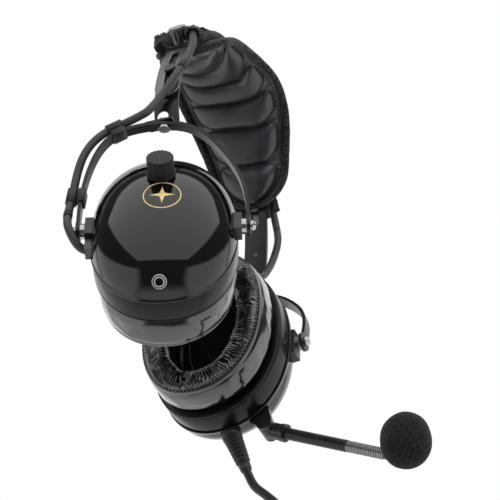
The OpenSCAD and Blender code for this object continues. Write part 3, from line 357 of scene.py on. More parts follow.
relief_rubber = grain(material("relief rubber", 0.022, 0.36), 0.0007, 0.00004, shades=(0.016, 0.032),
                      rough=(0.3, 0.42))
tie_cloth = grain(material("tie cloth", 0.02, 0.85, Sheen_Weight=0.4), 0.0009, 0.0003,
                  shades=(0.012, 0.035), cells=True)
splitter = dressed("cord_splitter", relief_rubber, "relief rubber", 1.2)
coil_tie = dressed("coil_tie", tie_cloth, "relief rubber", 0.4)
relief_profile = [(-4, 4.2), (-3.9, 5.9), (4.2, 5.9), (5, 5.4), (5.1, 3.6)]
for k in range(7):
    t, r = 6.2 + 2.9 * k, 5.2 - 0.2 * k
    relief_profile += [(t, r - 1.9), (t + 0.1, r - 0.2), (t + 0.35, r + 0.2), (t + 0.9, r + 0.2),
                       (t + 1.15, r - 0.2), (t + 1.25, r - 1.9)]
relief_profile += [(26.8, 2.9), (27.3, 3.6), (31.4, 3.2), (32, 2.56)]
relief_way = unit(np.subtract(RUN[2], RUN[0]))
relief_base = RUN[0] - 19.2 * relief_way
settle(tube("strain_relief_ribbed", [relief_base + relief_way * t for t, _ in relief_profile],
            [r for _, r in relief_profile], relief_rubber, 40, (1, 0, 0)),
       "cup_left", "relief rubber", "strain_relief")
for piece in bpy.data.objects:
    if piece.name.startswith(("cord_", "coil_", "plug_")):
        piece.visible_glossy = False
for use, size in (("phones", 0.1266), ("mic", 0.1166)):
    bpy.data.objects["cord_lead_" + use]
    tuple(lead_paths[use][0] * MM)
    (lead_paths[use] * MM).tolist()

# ---- Head band strap ----
# A spring-steel strap, bent to a tight arc over the crown and wide arcs down the sides, with
# a long slot at each end for the adjuster; satin grey plating, bright where it has worn.
band_steel = grain(material("band steel", 0.2, 0.36, 0.8), 0.0005, 0.000012, shades=(0.17, 0.24),
                   rough=(0.3, 0.46), patch=0.03, stretch=(1, 9, 1))
stirrup_steel = grain(material("stirrup steel", 0.045, 0.28, 0.85), 0.0005, 0.00001, shades=(0.034, 0.06),
                      rough=(0.24, 0.38), patch=0.03)
dressed("band_strap", band_steel, "band steel", 0.2)

# ---- Hangers ----
# Inner straps of the same steel slide behind the band's ends and turn out into a foot that
# carries the stirrup; a chromed screw guides each one and a rivet joins the foot.
black_steel = grain(material("dark screws", 0.11, 0.2, 0.95), 0.0004, 0.00001, rough=(0.28, 0.45),
                    patch=0.004)
chrome = grain(material("bright screws", 0.55, 0.14, 1.0), 0.0003, 0.000004, rough=(0.08, 0.22),
               patch=0.003)
SCREW_SPLIT = -0.1  # metres up: screws above it are dark, the rivets below it are bright
for side in ("left", "right"):
    dressed("hanger_" + side, stirrup_steel, "band steel", 0.2)
    screws = dressed("hanger_screws_" + side, chrome, "bright screws", 0.25)
    screws.data.materials.append(black_steel)
    for face in screws.data.polygons:
        face.material_index = int(face.center.z > SCREW_SPLIT)
    dressed("stirrup_" + side, stirrup_steel, "band steel", 0.3)
dressed("clamp_bolts", black_steel, "dark screws", 0.2)

# ---- Adjuster knobs ----
# Moulded black knobs with eight scallops, clamping the hanger to the band on a bolt; the flat top face is
# painted a shade lighter as a painted highlight.
knob_top_painted_highlight = grain(material("knob top painted highlight", 0.2, 0.34), 0.0006, 0.00003, shades=(0.1, 0.3), patch=0.004)
knob_plastic = material("knob plastic", 0.01, 0.26, Coat_Weight=1.0, Coat_Roughness=0.08, Coat_IOR=1.6)
grain(knob_plastic, 0.0006, 0.00003, shades=(0.006, 0.014), rough=(0.22, 0.36), patch=0.01)
KNOB_TILT, TOP_FACE = math.radians(24), 0.0012
for side in ("left", "right"):
    knob = dressed("adjuster_knob_" + side, knob_plastic, "knob plastic", 0.35, 40)
    knob.data.materials.append(knob_top_painted_highlight)
    axis = Vector((math.cos(KNOB_TILT) * (-1 if side == "right" else 1), 0, math.sin(KNOB_TILT)))
    top = max(v.co.dot(axis) for v in knob.data.vertices) - TOP_FACE
    for face in knob.data.polygons:
        # The flat top faces take the lighter top material: a painted highlight, not wear.
        face.material_index = int(face.normal.dot(axis) > 0.8 and face.center.dot(axis) > top)

# ---- Head pad ----
# A foam cushion under the band in soft satin leatherette, sewn across in six channels so
# that seven ribs stand up; the channels bend towards the right end at the pad's edges, most
# at the front.
leather = material("pad leather", 0.03, 0.4, Specular_IOR_Level=0.9)
grain(leather, 0.0009, 0.00007, shades=((0.018, 0.018, 0.021), (0.032, 0.032, 0.036)), rough=(0.3, 0.42),
      patch=0.025, detail=6.0)
CROWN_LEN, SIDE_CX, CROWN_CZ, SIDE_CZ = 59.88, -40.337, -53.8, -86.933


def band_point(s, w, out):
    """Points at s along the strap from the crown, w across it and out from its middle, in mm."""
    s, w, out = np.broadcast_arrays(*[np.asarray(x, float) for x in (s, w, out)])
    low = np.abs(s) > CROWN_LEN
    a = np.where(low, math.radians(39.4) - (np.abs(s) - CROWN_LEN) / 120, math.pi / 2 - np.abs(s) / 67.8)
    r = np.where(low, 120, 67.8) + out
    x = np.where(low, SIDE_CX, 0) + r * np.cos(a)
    z = np.where(low, SIDE_CZ, CROWN_CZ) + r * np.sin(a)
    return np.stack([np.where(s < 0, -x, x), w, z], -1)


def end_round(s, half):
    k = np.maximum(0, np.abs(s) - half + 22) / 22
    return np.sqrt(np.maximum(0.06, 1 - k * k))


def pad_width(s, half):
    return end_round(s, half) * (21 + 13 * np.maximum(0, np.cos(np.pi / 2 * np.abs(s) / half)) ** 1.6)


TUCK_FRONT, TUCK_REAR, SAG_FRONT = (6.5, -28, 34), (3.4, -62, 17), (2.6, -28, 34)


def hump(s, size, centre, reach):
    """A smooth hump of a size in mm, with its centre and reach along the strap."""
    return size * np.exp(-((s - centre) / reach) ** 2)


def tuck(s, v):
    """How far the pad's edges are drawn in over the right shoulder of the band."""
    return v * np.where(v < 0, hump(s, *TUCK_FRONT), hump(s, *TUCK_REAR))


def sag(s, v):
    """How far its front edge hangs below the rest, towards the head."""
    return np.where(v < 0, v ** 4 * hump(s, *SAG_FRONT), 0)


CHANNEL_V = (-1, -0.8, -0.6, -0.4, -0.2, 0, 0.3, 0.6, 0.8, 1)
CHANNEL_S = ((-84, -79, -73, -66, -57, -48, -44, -46, -49, -54),
             (-65, -57.5, -49, -39.5, -30.8, -24, -22, -25, -29, -35),
             (-20.4, -17.7, -12, -5.8, -4.8, -4.6, -5.4, -8.5, -13, -18),
             (6, 8, 12.5, 14, 14.5, 14.4, 13, 11.8, 8.7, 3),
             (31, 32.3, 35.5, 36.8, 36.2, 35.4, 34.2, 32.8, 30.5, 27),
             (62, 62.5, 64, 64.3, 64.2, 64.2, 63, 60.8, 58, 54))


def rib_place(s, v):
    """0 to 1 across the rib that a point is on, between the channels either side of it."""
    edges = [-92 + 0 * v]
    for row in CHANNEL_S:
        bent = smooth_line(list(zip(CHANNEL_V, row)), 12)
        edges.append(np.interp(v, bent[:, 0], bent[:, 1]))
    place = np.zeros(np.broadcast(s, v).shape)
    for low, high in zip(edges, edges[1:] + [92 + 0 * v]):
        place = np.where((s >= low) & (s < high), np.abs(2 * s - low - high) / (high - low), place)
    return place


def cushion_depth(s, v):
    edge = np.abs(v) / (0.9 - 0.04 * rib_place(s, v) ** 4)
    lengthways = (1 - (np.abs(s) / 91) ** 7).clip(0) ** 0.5
    dome = (1 - edge ** 4).clip(0) ** 0.55 * lengthways
    pillow = (1 - rib_place(s, v) ** 2.6 - edge.clip(0, 1) ** 6).clip(0) ** 0.5
    puckers = 0.14 * np.sin(2.1 * s + 3 * np.sin(0.31 * s)) * np.exp(-((edge - 1) / 0.07) ** 2)
    margin = 1.3 * (1 - np.abs(v) ** 12) * (0.3 + 0.7 * lengthways)
    return margin + 2.6 * dome + 6.0 * pillow * (0.3 + 0.7 * dome) + puckers


cushion_out = -4.175
s = np.linspace(91, -91, 641)[:, None]
v = np.sin(np.pi / 2 * np.linspace(-1, 1, 71))[None]
flat = np.linspace(0.85, -0.85, 8)[None]
half = pad_width(s, 91) - 1.7
top = band_point(s, half * v - tuck(s, v), cushion_out - cushion_depth(s, v) - sag(s, v))
under = band_point(s, half * flat - tuck(s, flat), cushion_out - sag(s, flat))
settle(skin("head_pad_cushion", np.concatenate([top, under], 1), leather), "band", "pad leather",
       "head_pad", soft=0.8)

# ---- Pad binding ----
# A coarse open-knit mesh lies over the back of the cushion and is rolled round its edge as
# a soft binding.
mesh_cloth = material("mesh cloth", 0.012, 0.8, Sheen_Weight=0.2, Specular_IOR_Level=0.3)
grain(mesh_cloth, 0.0024, 0.0009, shades=(0.035, 0.003), where="UV", cells=True)
steps = np.linspace(-93.5, 93.5, 361)[:, None]
turn = np.radians(np.linspace(78, -78, 15))[None]
wide = pad_width(steps, 93.5)
front_edge, rear_edge = np.array(-1.0), np.array(1.0)
front, hang = wide + tuck(steps * 0.97, front_edge), sag(steps * 0.97, front_edge)
wide = wide - tuck(steps * 0.97, rear_edge)
soft = 0.22 * np.sin(steps / 2.1 + 1.5 * np.sin(steps / 9)) * np.cos(turn) + 0.25 * np.sin(steps / 5.3 + 1)
cover_in, back_t, r = -2.475, 1.6, 2.5 + 0.25 * soft
mid = cover_in - 2.5
rear = band_point(steps, wide + (r + 0.3) * np.cos(turn), mid + r * np.sin(turn))
inside = [band_point(steps, wide - 1.25, mid - 2.0), band_point(steps, wide - 1.62, cover_in - back_t),
          band_point(steps, 0, cover_in - back_t), band_point(steps, 1.62 - front, cover_in - back_t - hang),
          band_point(steps, 1.25 - front, mid - 2.0 - hang)]
fore = band_point(steps, -front - (r + 0.3) * np.cos(turn), mid - r * np.sin(turn) - hang)
back = [band_point(steps, -front * k, cover_in - hang * k ** 4) for k in (0.8, 0.5, 0.2)] + [
    band_point(steps, wide * k, cover_in) for k in (0.0, 0.3, 0.6, 0.85)]
settle(skin("pad_binding", np.concatenate([rear, *inside, fore, *back], 1), mesh_cloth), "band",
       "mesh cloth", "pad_cover", soft=0.4)

# ---- Binding stitches ----
# A row of dark stitches, 2.4 mm long, runs along each edge of the pad, just inside the
# binding's roll.
thread = grain(material("thread", 0.03, 0.6), 0.0004, 0.00005, shades=(0.02, 0.05))


stitch_tree = bpy.data.node_groups.new("stitches along a seam", "GeometryNodeTree")
stitch_ids = {key: stitch_tree.interface.new_socket(
    key, in_out=way, socket_type="NodeSocket" + kind).identifier for key, way, kind in (
        ("Geometry", "INPUT", "Geometry"), ("Made", "OUTPUT", "Geometry"), ("Spacing", "INPUT", "Float"),
        ("Length", "INPUT", "Float"), ("Thickness", "INPUT", "Float"), ("Thread", "INPUT", "Material"))}
given = stitch_tree.nodes.new("NodeGroupInput").outputs
seam_line = node(stitch_tree, "GeometryNodeMeshToCurve", Mesh=given["Geometry"])
spots = node(stitch_tree, "GeometryNodeCurveToPoints", dict(mode="LENGTH"), Curve=seam_line.outputs[0],
             Length=given["Spacing"])
stitch = node(stitch_tree, "GeometryNodeMeshUVSphere", Segments=8, Rings=6, Radius=0.5)
size = node(stitch_tree, "CombineXYZ", X=given["Thickness"], Y=given["Thickness"], Z=given["Length"])
placed = node(stitch_tree, "GeometryNodeInstanceOnPoints", Points=spots.outputs["Points"],
              Instance=stitch.outputs["Mesh"], Rotation=spots.outputs["Rotation"], Scale=size.outputs[0])
real = node(stitch_tree, "GeometryNodeRealizeInstances", Geometry=placed.outputs[0])
dyed = node(stitch_tree, "GeometryNodeSetMaterial", Geometry=real.outputs[0], Material=given["Thread"])
stitch_tree.links.new(dyed.outputs[0], stitch_tree.nodes.new("NodeGroupOutput").inputs["Made"])


def stitched(name, line, body, slot, spacing=3.2, length=2.4, thick=0.55, loop=False):
    """A row of stitches along a line of points in mm."""
    path = bpy.data.meshes.new(name + "_line")
    edges = [(k, k + 1) for k in range(len(line) - 1)] + ([(len(line) - 1, 0)] if loop else [])
    path.from_pydata((np.asarray(line) * MM).tolist(), edges, [])
    maker = add(name + "_line", path)
    made = maker.modifiers.new("stitches", "NODES")
    made.node_group = stitch_tree
    for key, size in (("Spacing", spacing), ("Length", length), ("Thickness", thick)):
        made[stitch_ids[key]] = size * MM
    made[stitch_ids["Thread"]] = thread
    graph = bpy.context.evaluated_depsgraph_get()
    result = bpy.data.meshes.new_from_object(maker.evaluated_get(graph))
    bpy.data.objects.remove(maker)
    result.polygons.foreach_set("use_smooth", [True] * len(result.polygons))
    settle(add(name, result), body, slot)


for edge, name in ((0.93, "pad_stitches_rear"), (-0.93, "pad_stitches_front")):
    along = np.linspace(-86, 86, 120)
    seam_v = np.full_like(along, edge)
    line = band_point(along, (pad_width(along, 91) - 1.7) * seam_v - tuck(along, seam_v),
                      cushion_out - cushion_depth(along, seam_v) - sag(along, seam_v) - 0.02)
    stitched(name, line, "band", "mesh cloth")

# ---- Mesh sleeve ----
# The same mesh is wrapped round the strap and the crossing cable over the crown; it lies in
# soft folds and ends in a ruffle above each knob.
channel_half, cover_top, mesh_t = 7.8, 0.725, 1.2
cable_w, cable_out = -10.5, 1.8
link_r = 2.4


def lift(s):
    """How far the cable and its tunnel stand off: low over the crown, high beside the knobs."""
    return -1.6 + 3.2 * np.clip((np.abs(s) - 58) / 24, 0, 1) ** 2


def round_cable(r, a):
    a = math.radians(a)
    return (cable_out + r * math.cos(a), cable_w + r * math.sin(a))


low, wall_top, wall_r = cover_in + 0.1, cover_top + mesh_t, link_r + 0.05
section = [((low, cable_w - 1.4), (low, -channel_half)),
           (round_cable(wall_r + 0.8, -150), (-0.5, -channel_half))]
section += [(round_cable(wall_r + 0.8, 25 * k - 125), round_cable(wall_r, 145 + 35 * k)) for k in range(9)]
section += [((wall_top, -5.5), round_cable(wall_r, 455)), ((wall_top, -3), (cover_top, -6.9)),
            ((wall_top, 0), (cover_top, 0)), ((wall_top, 8), (cover_top, channel_half)),
            ((wall_top - 1, 9), (0.4, channel_half)), ((low, 9), (low, channel_half))]
SLEEVE_HALF = CROWN_LEN + 120 * math.radians(39.4 - 28.5)
along = np.linspace(-SLEEVE_HALF, SLEEVE_HALF, 241)


def fine(points, steps):
    return smooth_line([(*p, 0) for p in points], steps)[:, :2]


outer = fine([p for p, _ in section], 4)
inner_flat = np.array([q for _, q in section])[::-1]
spread = np.linspace(0, 1, len(outer)), np.linspace(0, 1, len(inner_flat))
inner = np.stack([np.interp(*spread, inner_flat[:, k]) for k in (0, 1)], 1)
centre = outer.mean(0)
away = (outer - centre) / np.linalg.norm(outer - centre, axis=1)[:, None]
rings = []
for a in along:
    ruffle = hump(abs(a), 1, SLEEVE_HALF, 9)
    swell = np.array([0.35 * noise.noise((a / 5, k / 7, 3.0))
                      + ruffle * (0.5 + 1.1 * noise.noise((a / 3, k / 4, 8.0)))
                      for k in range(len(outer))])
    swell[:3] = swell[-3:] = 0
    shape = np.vstack([outer + away * swell[:, None], inner])
    near_cable = np.clip((-7 - shape[:, 1]) / 2.5, 0, 1)
    rings.append(band_point(a, shape[:, 1], shape[:, 0] + lift(a) * near_cable))
settle(skin("mesh_sleeve", rings, mesh_cloth), "band", "mesh cloth", "pad_sleeve", soft=0.2)


# ---- Sleeve tongues ----
# The sleeve's end is gathered under each knob: a folded strip with the bolt through it, kept
# flat beneath the knob.
def side_point(a, w, out):
    a = np.radians(a)
    r = 120 + np.asarray(out, float)
    return np.stack(np.broadcast_arrays(SIDE_CX + r * np.cos(a), w, SIDE_CZ + r * np.sin(a)), -1)


for sign, side in ((1, "left"), (-1, "right")):
    rings = []
    for a in np.linspace(28.6, 20.3, 60):
        w = np.linspace(-9.2, 9.2, 61)
        droop = hump(a, 1, 20.3, 1.6)
        fold = np.array([0.5 * noise.noise((a * 0.9, x / 2.6, 5.0 + sign)) for x in w])
        rim = np.clip((np.abs(w) - 7.6) / 1.6, 0, 1)
        out = cover_top + mesh_t * (1 - 0.85 * rim ** 2) + 0.25 * fold + 0.4 * droop * fold
        out = np.where(np.hypot((a - 24) * 2.09, w) < 6.2, np.minimum(out, cover_top + mesh_t), out)
        edge_w = w * (1 + 0.05 * droop)
        outside = side_point(a, edge_w, out)
        skirt = [side_point(a, x * (9.4 + 0.4 * noise.noise((a * 1.3, x, 2.0))), low + 0.3)
                 for x in (1, -1)]
        hem = [side_point(a, x * 7.85, low + 0.3) for x in (1, -1)]
        inside_top = side_point(a, np.linspace(7.8, -7.8, 9), cover_top + 0.02)
        rings.append(np.vstack([outside, skirt[:1], hem[:1], inside_top, hem[1:], skirt[1:]]))
    settle(skin("sleeve_tongue_" + side, np.array(rings) * [sign, 1, 1], mesh_cloth), "band",
           "mesh cloth", "pad_sleeve", soft=0.2)

# ---- Sleeve pockets ----
# Behind each knob the mesh is bunched into an open, crumpled pocket that stands off the
# strap.
for sign, side in ((1, "left"), (-1, "right")):
    rings = []
    for a in np.linspace(33.5, 20.6, 66):
        t = (33.5 - a) / 12.9
        g = math.sin(math.pi * min(1, 0.12 + 0.62 * t)) ** 1.3
        wall = fine([(7.6, 1.6), (8.3 + g, 2.2 + 5.2 * g), (10 + 3.5 * g, 2.6 + 6.2 * g),
                     (10.5 + 6 * g, 1.5 + 2.5 * g), (10.2 + 4 * g, -1.2), (8.6, -2.2)], 8)
        away = np.gradient(wall, axis=0)
        away = np.stack([-away[:, 1], away[:, 0]], 1) / np.linalg.norm(away, axis=1)[:, None]
        crumple = np.array([0.4 + g * (2.2 * noise.noise((a / 3.1, k / 5.5, 4.0 + sign))
                                       + 0.9 * noise.noise((a / 1.2, k / 2.2, 9.0)))
                            for k in range(len(wall))])
        fade = np.sin(np.linspace(0, np.pi, len(wall))) ** 0.5
        wall = wall + away * (crumple * fade)[:, None]
        inner = wall - away * 0.9
        shape = np.vstack([wall, inner[::-1]])
        shape[:, 0] = shape[:, 0].clip(7.4)
        rings.append(side_point(a, shape[:, 0], shape[:, 1]))
    settle(skin("sleeve_pocket_" + side, np.array(rings) * [sign, 1, 1], mesh_cloth), "band",
           "mesh cloth")

# ---- Cable between the cups ----
# A grey PVC cable leaves the sleeve beside each knob. On the right it is clipped to the
# stirrup and enters the cup at its rear edge; on the left it drops straight into the cup.
link_finish = grain(material("cable jacket", 0.045, 0.4), 0.0006, 0.00003, shades=(0.03, 0.06),
                    rough=(0.34, 0.5), patch=0.02)
crown = np.linspace(-82, 82, 165)
settle(tube("cable_over_crown", band_point(crown, cable_w, cable_out + lift(crown)), link_r - 0.02,
            link_finish), "band", "cable jacket", "cable_crown")
SWIVEL, LEAN, CUP_TILT = {"left": -6, "right": -17}, 16, 19


def rotated(a, b, degrees):
    c, s = math.cos(math.radians(degrees)), math.sin(math.radians(degrees))
    return a * c - b * s, a * s + b * c


def stirrup_place(p, side):
    """Points of a stirrup's own frame (out, rear, up from its rivet) in the part's frame, in mm."""
    p = np.asarray(p, float)
    x, y = rotated(p[..., 0], p[..., 1], SWIVEL[side])
    z, x = rotated(p[..., 2], x, LEAN)
    return np.stack([(75.015 + x) * (-1 if side == "right" else 1), y, z - 120.009], -1)


def cup_place(p, side):
    """Points of a cup's own frame (out, rear, up from its pivots) in the part's frame, in mm."""
    p = np.asarray(p, float)
    x, z = rotated(p[..., 0], p[..., 2], CUP_TILT)
    return stirrup_place(np.stack([x, p[..., 1], z - 69], -1), side)


def power(x, k):
    return np.sign(x) * np.abs(x) ** (2 / k)


def arch(f, out):
    """A point of the stirrup's arch at angle f, moved outward from its middle line."""
    def middle(g):
        g = math.radians(min(max(g, 0.01), 179.99))
        return np.array([47 * power(math.cos(g), 2.3), 69 * (power(math.sin(g), 2.3) - 1)
                         + 4.5 * math.sin(2 * g) ** 3])
    t = unit(middle(f + 0.5) - middle(f - 0.5))
    return middle(f) + out * np.array([t[1], -t[0]])


def on_hoop(f):
    bow = 1.5 * math.sin(math.pi * (60 - f) / 45) ** 2 if 15 < f < 60 else 0
    return (0, *arch(f, 5.5 + bow))


link_start, link_next = side_point(28.2, cable_w, cable_out), side_point(27.3, cable_w, cable_out)
flip = np.array([-1, 1, 1])
right_upper = np.vstack([[link_next], [(76.3, -9.5, -36.8), (78, -10.8, -46), (80.2, -11.4, -61),
                                        (83.3, -9.4, -78), (83.7, -4.5, -91.7), (82.8, 0.6, -101.4)]]) * flip
right_hoop = stirrup_place([(4, 8.2, 8.8), (2.5, 13.8, 5.6)] + [on_hoop(f) for f in range(64, 13, -7)]
                           + [(3, 52.7, -60), (6.4, 51.8, -69.5), (4.6, 48.2, -77.6)], "right")
right_line = np.vstack([[link_start * flip], smooth_line(np.vstack([
    right_upper, right_hoop, cup_place([(-3, 44.6, -11), (-3, 42.6, -11), (-3, 40.5, -11)], "right")]), 6)])
left_line = np.vstack([[link_start], smooth_line(np.vstack([
    [link_next], [(74.2, -10, -36.8), (77.3, -11.5, -46), (79.3, -13.6, -61), (78, -12.8, -77),
                  (71.5, -12, -96), (62.5, -10.5, -111)],
    cup_place([(-3, -8, 68), (-3, -8, 61), (-3, -8, 56)], "left")]), 8)])
# Each cable with the points where it is cut, at the slider and at the stirrup.
cables = {"right": (right_line, 25, 103), "left": (left_line, 21, 45)}
for side, (line, first, second) in cables.items():
    all_rings = tube_rings(line, link_r, 20)
    spans = (("upper", 0, first, "band", "slider_" + side),
             ("middle", first, second, "slider_" + side, "yoke_" + side),
             ("lower", second, len(line) - 1, "yoke_" + side, "cup_" + side))
    for name, at, to, above, below in spans:
        piece = skin(f"link_cable_{side}_{name}", all_rings[at:to + 1], link_finish)
        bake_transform(piece)
        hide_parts("link_cable_" + side)

# ---- Sleeve hoods ----
# Beside each knob the mesh runs up round the cable as a loose, crumpled hood, and the cable
# leaves its mouth.
HOOD_SIDES, HOOD_WALL = 48, 0.8
lead_s = np.linspace(70, 80, 8)
for side, (line, _, _) in cables.items():
    sign = -1 if side == "right" else 1
    lead_in = band_point(sign * lead_s, cable_w, cable_out + lift(lead_s))
    path = smooth_line(np.vstack([lead_in[::2], line[2:12:2]]), 8)
    outside, inside = [], []
    for grow, mid, ring in zip(np.linspace(0, 1, len(path)), path, tube_rings(path, 1.0, HOOD_SIDES)):
        crumple = np.array([noise.noise((grow * 7, 4 * math.cos(t), 4 * math.sin(t) + sign))
                            for t in circle(HOOD_SIDES)])
        reach = (3.3 + 1.3 * grow ** 2 + (0.3 + 0.8 * grow) * crumple)[:, None]
        outside.append(mid + (ring - mid) * reach)
        inside.append(mid + (ring - mid) * (reach - HOOD_WALL))
    settle(skin("sleeve_hood_" + side, outside + inside[::-1], mesh_cloth, loop=True), "band",
           "mesh cloth")

# ---- Cable collars and clips ----
# A rubber collar covers each cut of the right cable, and two moulded clips hold it to the
# stirrup, each with a sleeve on the arch's strip and a sleeve round the cable.
for place, at, body in (("upper", 25, "slider_right"), ("lower", 103, "yoke_right")):
    settle(tube("cable_collar_" + place, right_line[at - 1:at + 2], link_r + 0.25, plug_rubber, 20), body,
           "cable jacket")
clip_plastic = grain(material("clip plastic", 0.018, 0.42), 0.0008, 0.00004, shades=(0.012, 0.026),
                     rough=(0.36, 0.5))
# Each sleeve's place beyond the arch, squareness, half length, and half sizes outside and inside.
CLIPS = {"strip": (0, 9, 4.2, (2.1, 4.6), (1.2, 3.8)), "cable": (5.5, 2.0, 4.8, (3.45, 3.45), (2.56, 2.56))}
CLIP_EDGE = 0.25


def clip_ring(f, mid, k, half, d):
    """A ring of a clip's sleeve at angle f of the arch, d mm along it."""
    way = unit(arch(f + 0.5, 0) - arch(f - 0.5, 0))
    return stirrup_place([(half[1] * power(math.sin(t), k),
                           *(arch(f, mid + half[0] * power(math.cos(t), k)) + way * d))
                          for t in circle(48)], "right")


for f, place in ((60, "upper"), (15, "lower")):
    for part, (mid, k, long, wall, bore) in CLIPS.items():
        edge = np.subtract(wall, CLIP_EDGE)
        rings = [clip_ring(f, mid, k, half, d) for half, d in (
            (edge, -long), (wall, CLIP_EDGE - long), (wall, long - CLIP_EDGE), (edge, long), (bore, long),
            (bore, -long))]
        settle(skin(f"cable_clip_{place}_{part}", rings, clip_plastic, loop=True), "yoke_right",
               "clip plastic", "cable_clips_right")
dressed("cable_gland_left", clip_plastic, "clip plastic", 0.4)
dressed("p_clip_right", black_steel, "bright screws", 0.3)

# ---- Cup shells ----
# Deep domes moulded in ABS and finished in high-gloss black; a rounded lip runs round the
# open edge where the dome sits on its back plate.
gloss_black = material("gloss shell", 0.003, 0.2, Coat_Weight=1.0, Coat_Roughness=0.012, Coat_IOR=1.6,
                       Specular_IOR_Level=0.0)
grain(gloss_black, 0.011, 0.000012, shades=(0.002, 0.004), rough=(0.16, 0.24), patch=0.05, detail=1.0)
CUP_A, CUP_B, DOME_D, RIM_N = 40.5, 54.5, 31, -6
SQUARE = 2.2  # the power of the cup's outline; 2 would be an ellipse
SHELL_POINTS = 180


def cup_ring(n, a, b, k=SQUARE):
    f = circle(SHELL_POINTS)
    return np.stack([np.full(SHELL_POINTS, n), a * power(np.cos(f), k), b * power(np.sin(f), k)], 1)


def dome_rings(inset, angles):
    return [cup_ring(RIM_N + (DOME_D - inset) * power(math.sin(f), SQUARE),
                     *(np.array([CUP_A - inset, CUP_B - inset]) * power(math.cos(f), SQUARE)))
            for f in np.radians(angles)]


def on_cup(name, rings, side, finish, slot, *stands_for, loop=False, soft=None):
    """A skin over rings given in a cup's own frame, riding that cup."""
    piece = skin(name, cup_place(rings, side), finish, loop=loop)
    return settle(piece, "cup_" + side, slot, *stands_for, soft=soft)


up = [3, 5, 7, 9, 11, 13, 16, 19, 22, 25, *range(29, 77, 4), 76, 79, 82, 84, 86, 88, 89]
lip = [cup_ring(RIM_N + h, CUP_A + d, CUP_B + d) for h, d in (
    (0.05, -2.5), (0.05, -0.4), (0.05, 0.1), (0.05, 0.42), (0.25, 0.6), (0.6, 0.66), (1.0, 0.56),
    (1.35, 0.3), (1.6, 0.08))]
for side in ("left", "right"):
    on_cup("cup_dome_" + side, dome_rings(2.5, up)[::-1] + lip + dome_rings(0, up[1:]), side, gloss_black,
           "gloss shell", "cup_shell_" + side)

# ---- Badge ring ----
# A bare oval, hot-stamped in gold foil on the right dome with a plain four-pointed star, the
# mark of a compass and of no maker.
gold = grain(material("gold foil", (0.95, 0.72, 0.28), 0.42, 0.1), 0.0006, 0.00001, rough=(0.24, 0.4),
             patch=0.003)
BADGE = np.array([-1.1, -1.2])


def on_dome(y, u, proud):
    """A point of the dome's outside, given its place to the rear and up in the cup's frame."""
    fill = 1 - (np.abs(y) / CUP_A) ** SQUARE - (np.abs(u) / CUP_B) ** SQUARE
    return np.stack(np.broadcast_arrays(RIM_N + DOME_D * fill ** (1 / SQUARE) + proud, y, u), -1)


def badge(name, rows):
    """A thin raised mark on the dome; rows are lines of (rear, up) points from edge to edge."""
    y, u = np.moveaxis(BADGE + rows, -1, 0)
    rings = np.concatenate([on_dome(y, u, 0.12), on_dome(y[:, ::-1], u[:, ::-1], -0.2)], 1)
    on_cup(name, rings, "right", gold, "bright screws", loop=name == "badge_ring")


badge("badge_ring", np.array([[(k * 10.5 * math.cos(a), k * 11.0 * math.sin(a)) for k in (0.94, 0.97, 1.0)]
                              for a in circle(120)]))
ARM = 7.2
arm = np.array([[(w * (1.9 * (1 - abs(d) / ARM) ** 1.3 + 0.02), d) for w in (-1, 0, 1)]
                for d in np.linspace(-ARM, ARM, 41)])
badge("badge_star_0", arm)
badge("badge_star_1", np.stack([-arm[..., 1], arm[..., 0]], -1))

# ---- Back plates ----
# Black ABS plates close each dome; the wall between the dome and the seal is a shade less
# polished than the dome, with a shallow groove where the seal's skirt tucks in.
plate_black = material("back plate", 0.004, 0.3, Coat_Weight=0.25, Coat_Roughness=0.22, Coat_IOR=1.5,
                       Specular_IOR_Level=0.2)
grain(plate_black, 0.0006, 0.000012, shades=(0.003, 0.006), rough=(0.24, 0.36), patch=0.03, detail=5.0)
PORT = 17  # radius of the round opening to the speaker
outside = ((-6.1, 3.0), (-6.05, 1.2), (-6.15, 0.6), (-6.5, 0.25), (-7.2, 0.05), (-12, 0.0), (-17.6, 0.0),
           (-18.0, 0.1), (-18.3, 0.45), (-18.8, 0.5), (-19.1, 0.15), (-19.5, 0.1), (-19.9, 0.4), (-20, 0.9))
inside = ((-17.5, 3.6), (-17.2, 3.1))
plate_rings = [cup_ring(n, CUP_A - inset, CUP_B - inset) for n, inset in outside + inside]
plate_rings[len(outside):len(outside)] = [cup_ring(n, PORT, PORT, 2) for n in (-20, -17.5)]
for side in ("left", "right"):
    on_cup("cup_plate_" + side, plate_rings, side, plate_black, "knob plastic", "back_plate_" + side,
           loop=True)

# ---- Ear seals ----
# Foam rings covered in glossy black vinyl. The outer wall is drawn tight to a piped seam;
# inside the seam the vinyl is gathered, and creases in fine zig-zags down to the ear.
vinyl = material("seal vinyl", 0.006, 0.2, Coat_Weight=1.0, Coat_Roughness=0.1, Coat_IOR=1.8)
grain(vinyl, 0.0016, 0.00003, shades=(0.004, 0.009), rough=(0.12, 0.22), patch=0.012, detail=5.0)
SEAL_AROUND, SEAL_SECTION = 900, 100
SEAL_N, ROLL_W, ROLL_H, FLAT_BACK, ROLL_SQUARE, SEAM_AT = -31.25, 9.5, 11.925, -11.25, 2.6, 47
f = circle(SEAL_AROUND)


def seal_middle(f):
    return np.stack([29.5 * power(np.cos(f), SQUARE), 43.5 * power(np.sin(f), SQUARE)], 1)


tangent = seal_middle(f + 0.012) - seal_middle(f - 0.012)
tangent /= np.linalg.norm(tangent, axis=1)[:, None]
outward = np.stack([tangent[:, 1], -tangent[:, 0]], 1)
length = np.concatenate([[0], np.cumsum(np.linalg.norm(np.diff(seal_middle(f), axis=0), axis=1))])
length *= 2 * np.pi / (length[-1] + length[1])
g = np.linspace(0, 360, SEAL_SECTION, endpoint=False)[None]


def roll(degrees):
    """A point of the roll's plain section, outward and away from the cup."""
    a = np.radians(degrees)
    return ROLL_W * power(np.cos(a), ROLL_SQUARE), ROLL_H * power(np.sin(a), ROLL_SQUARE)


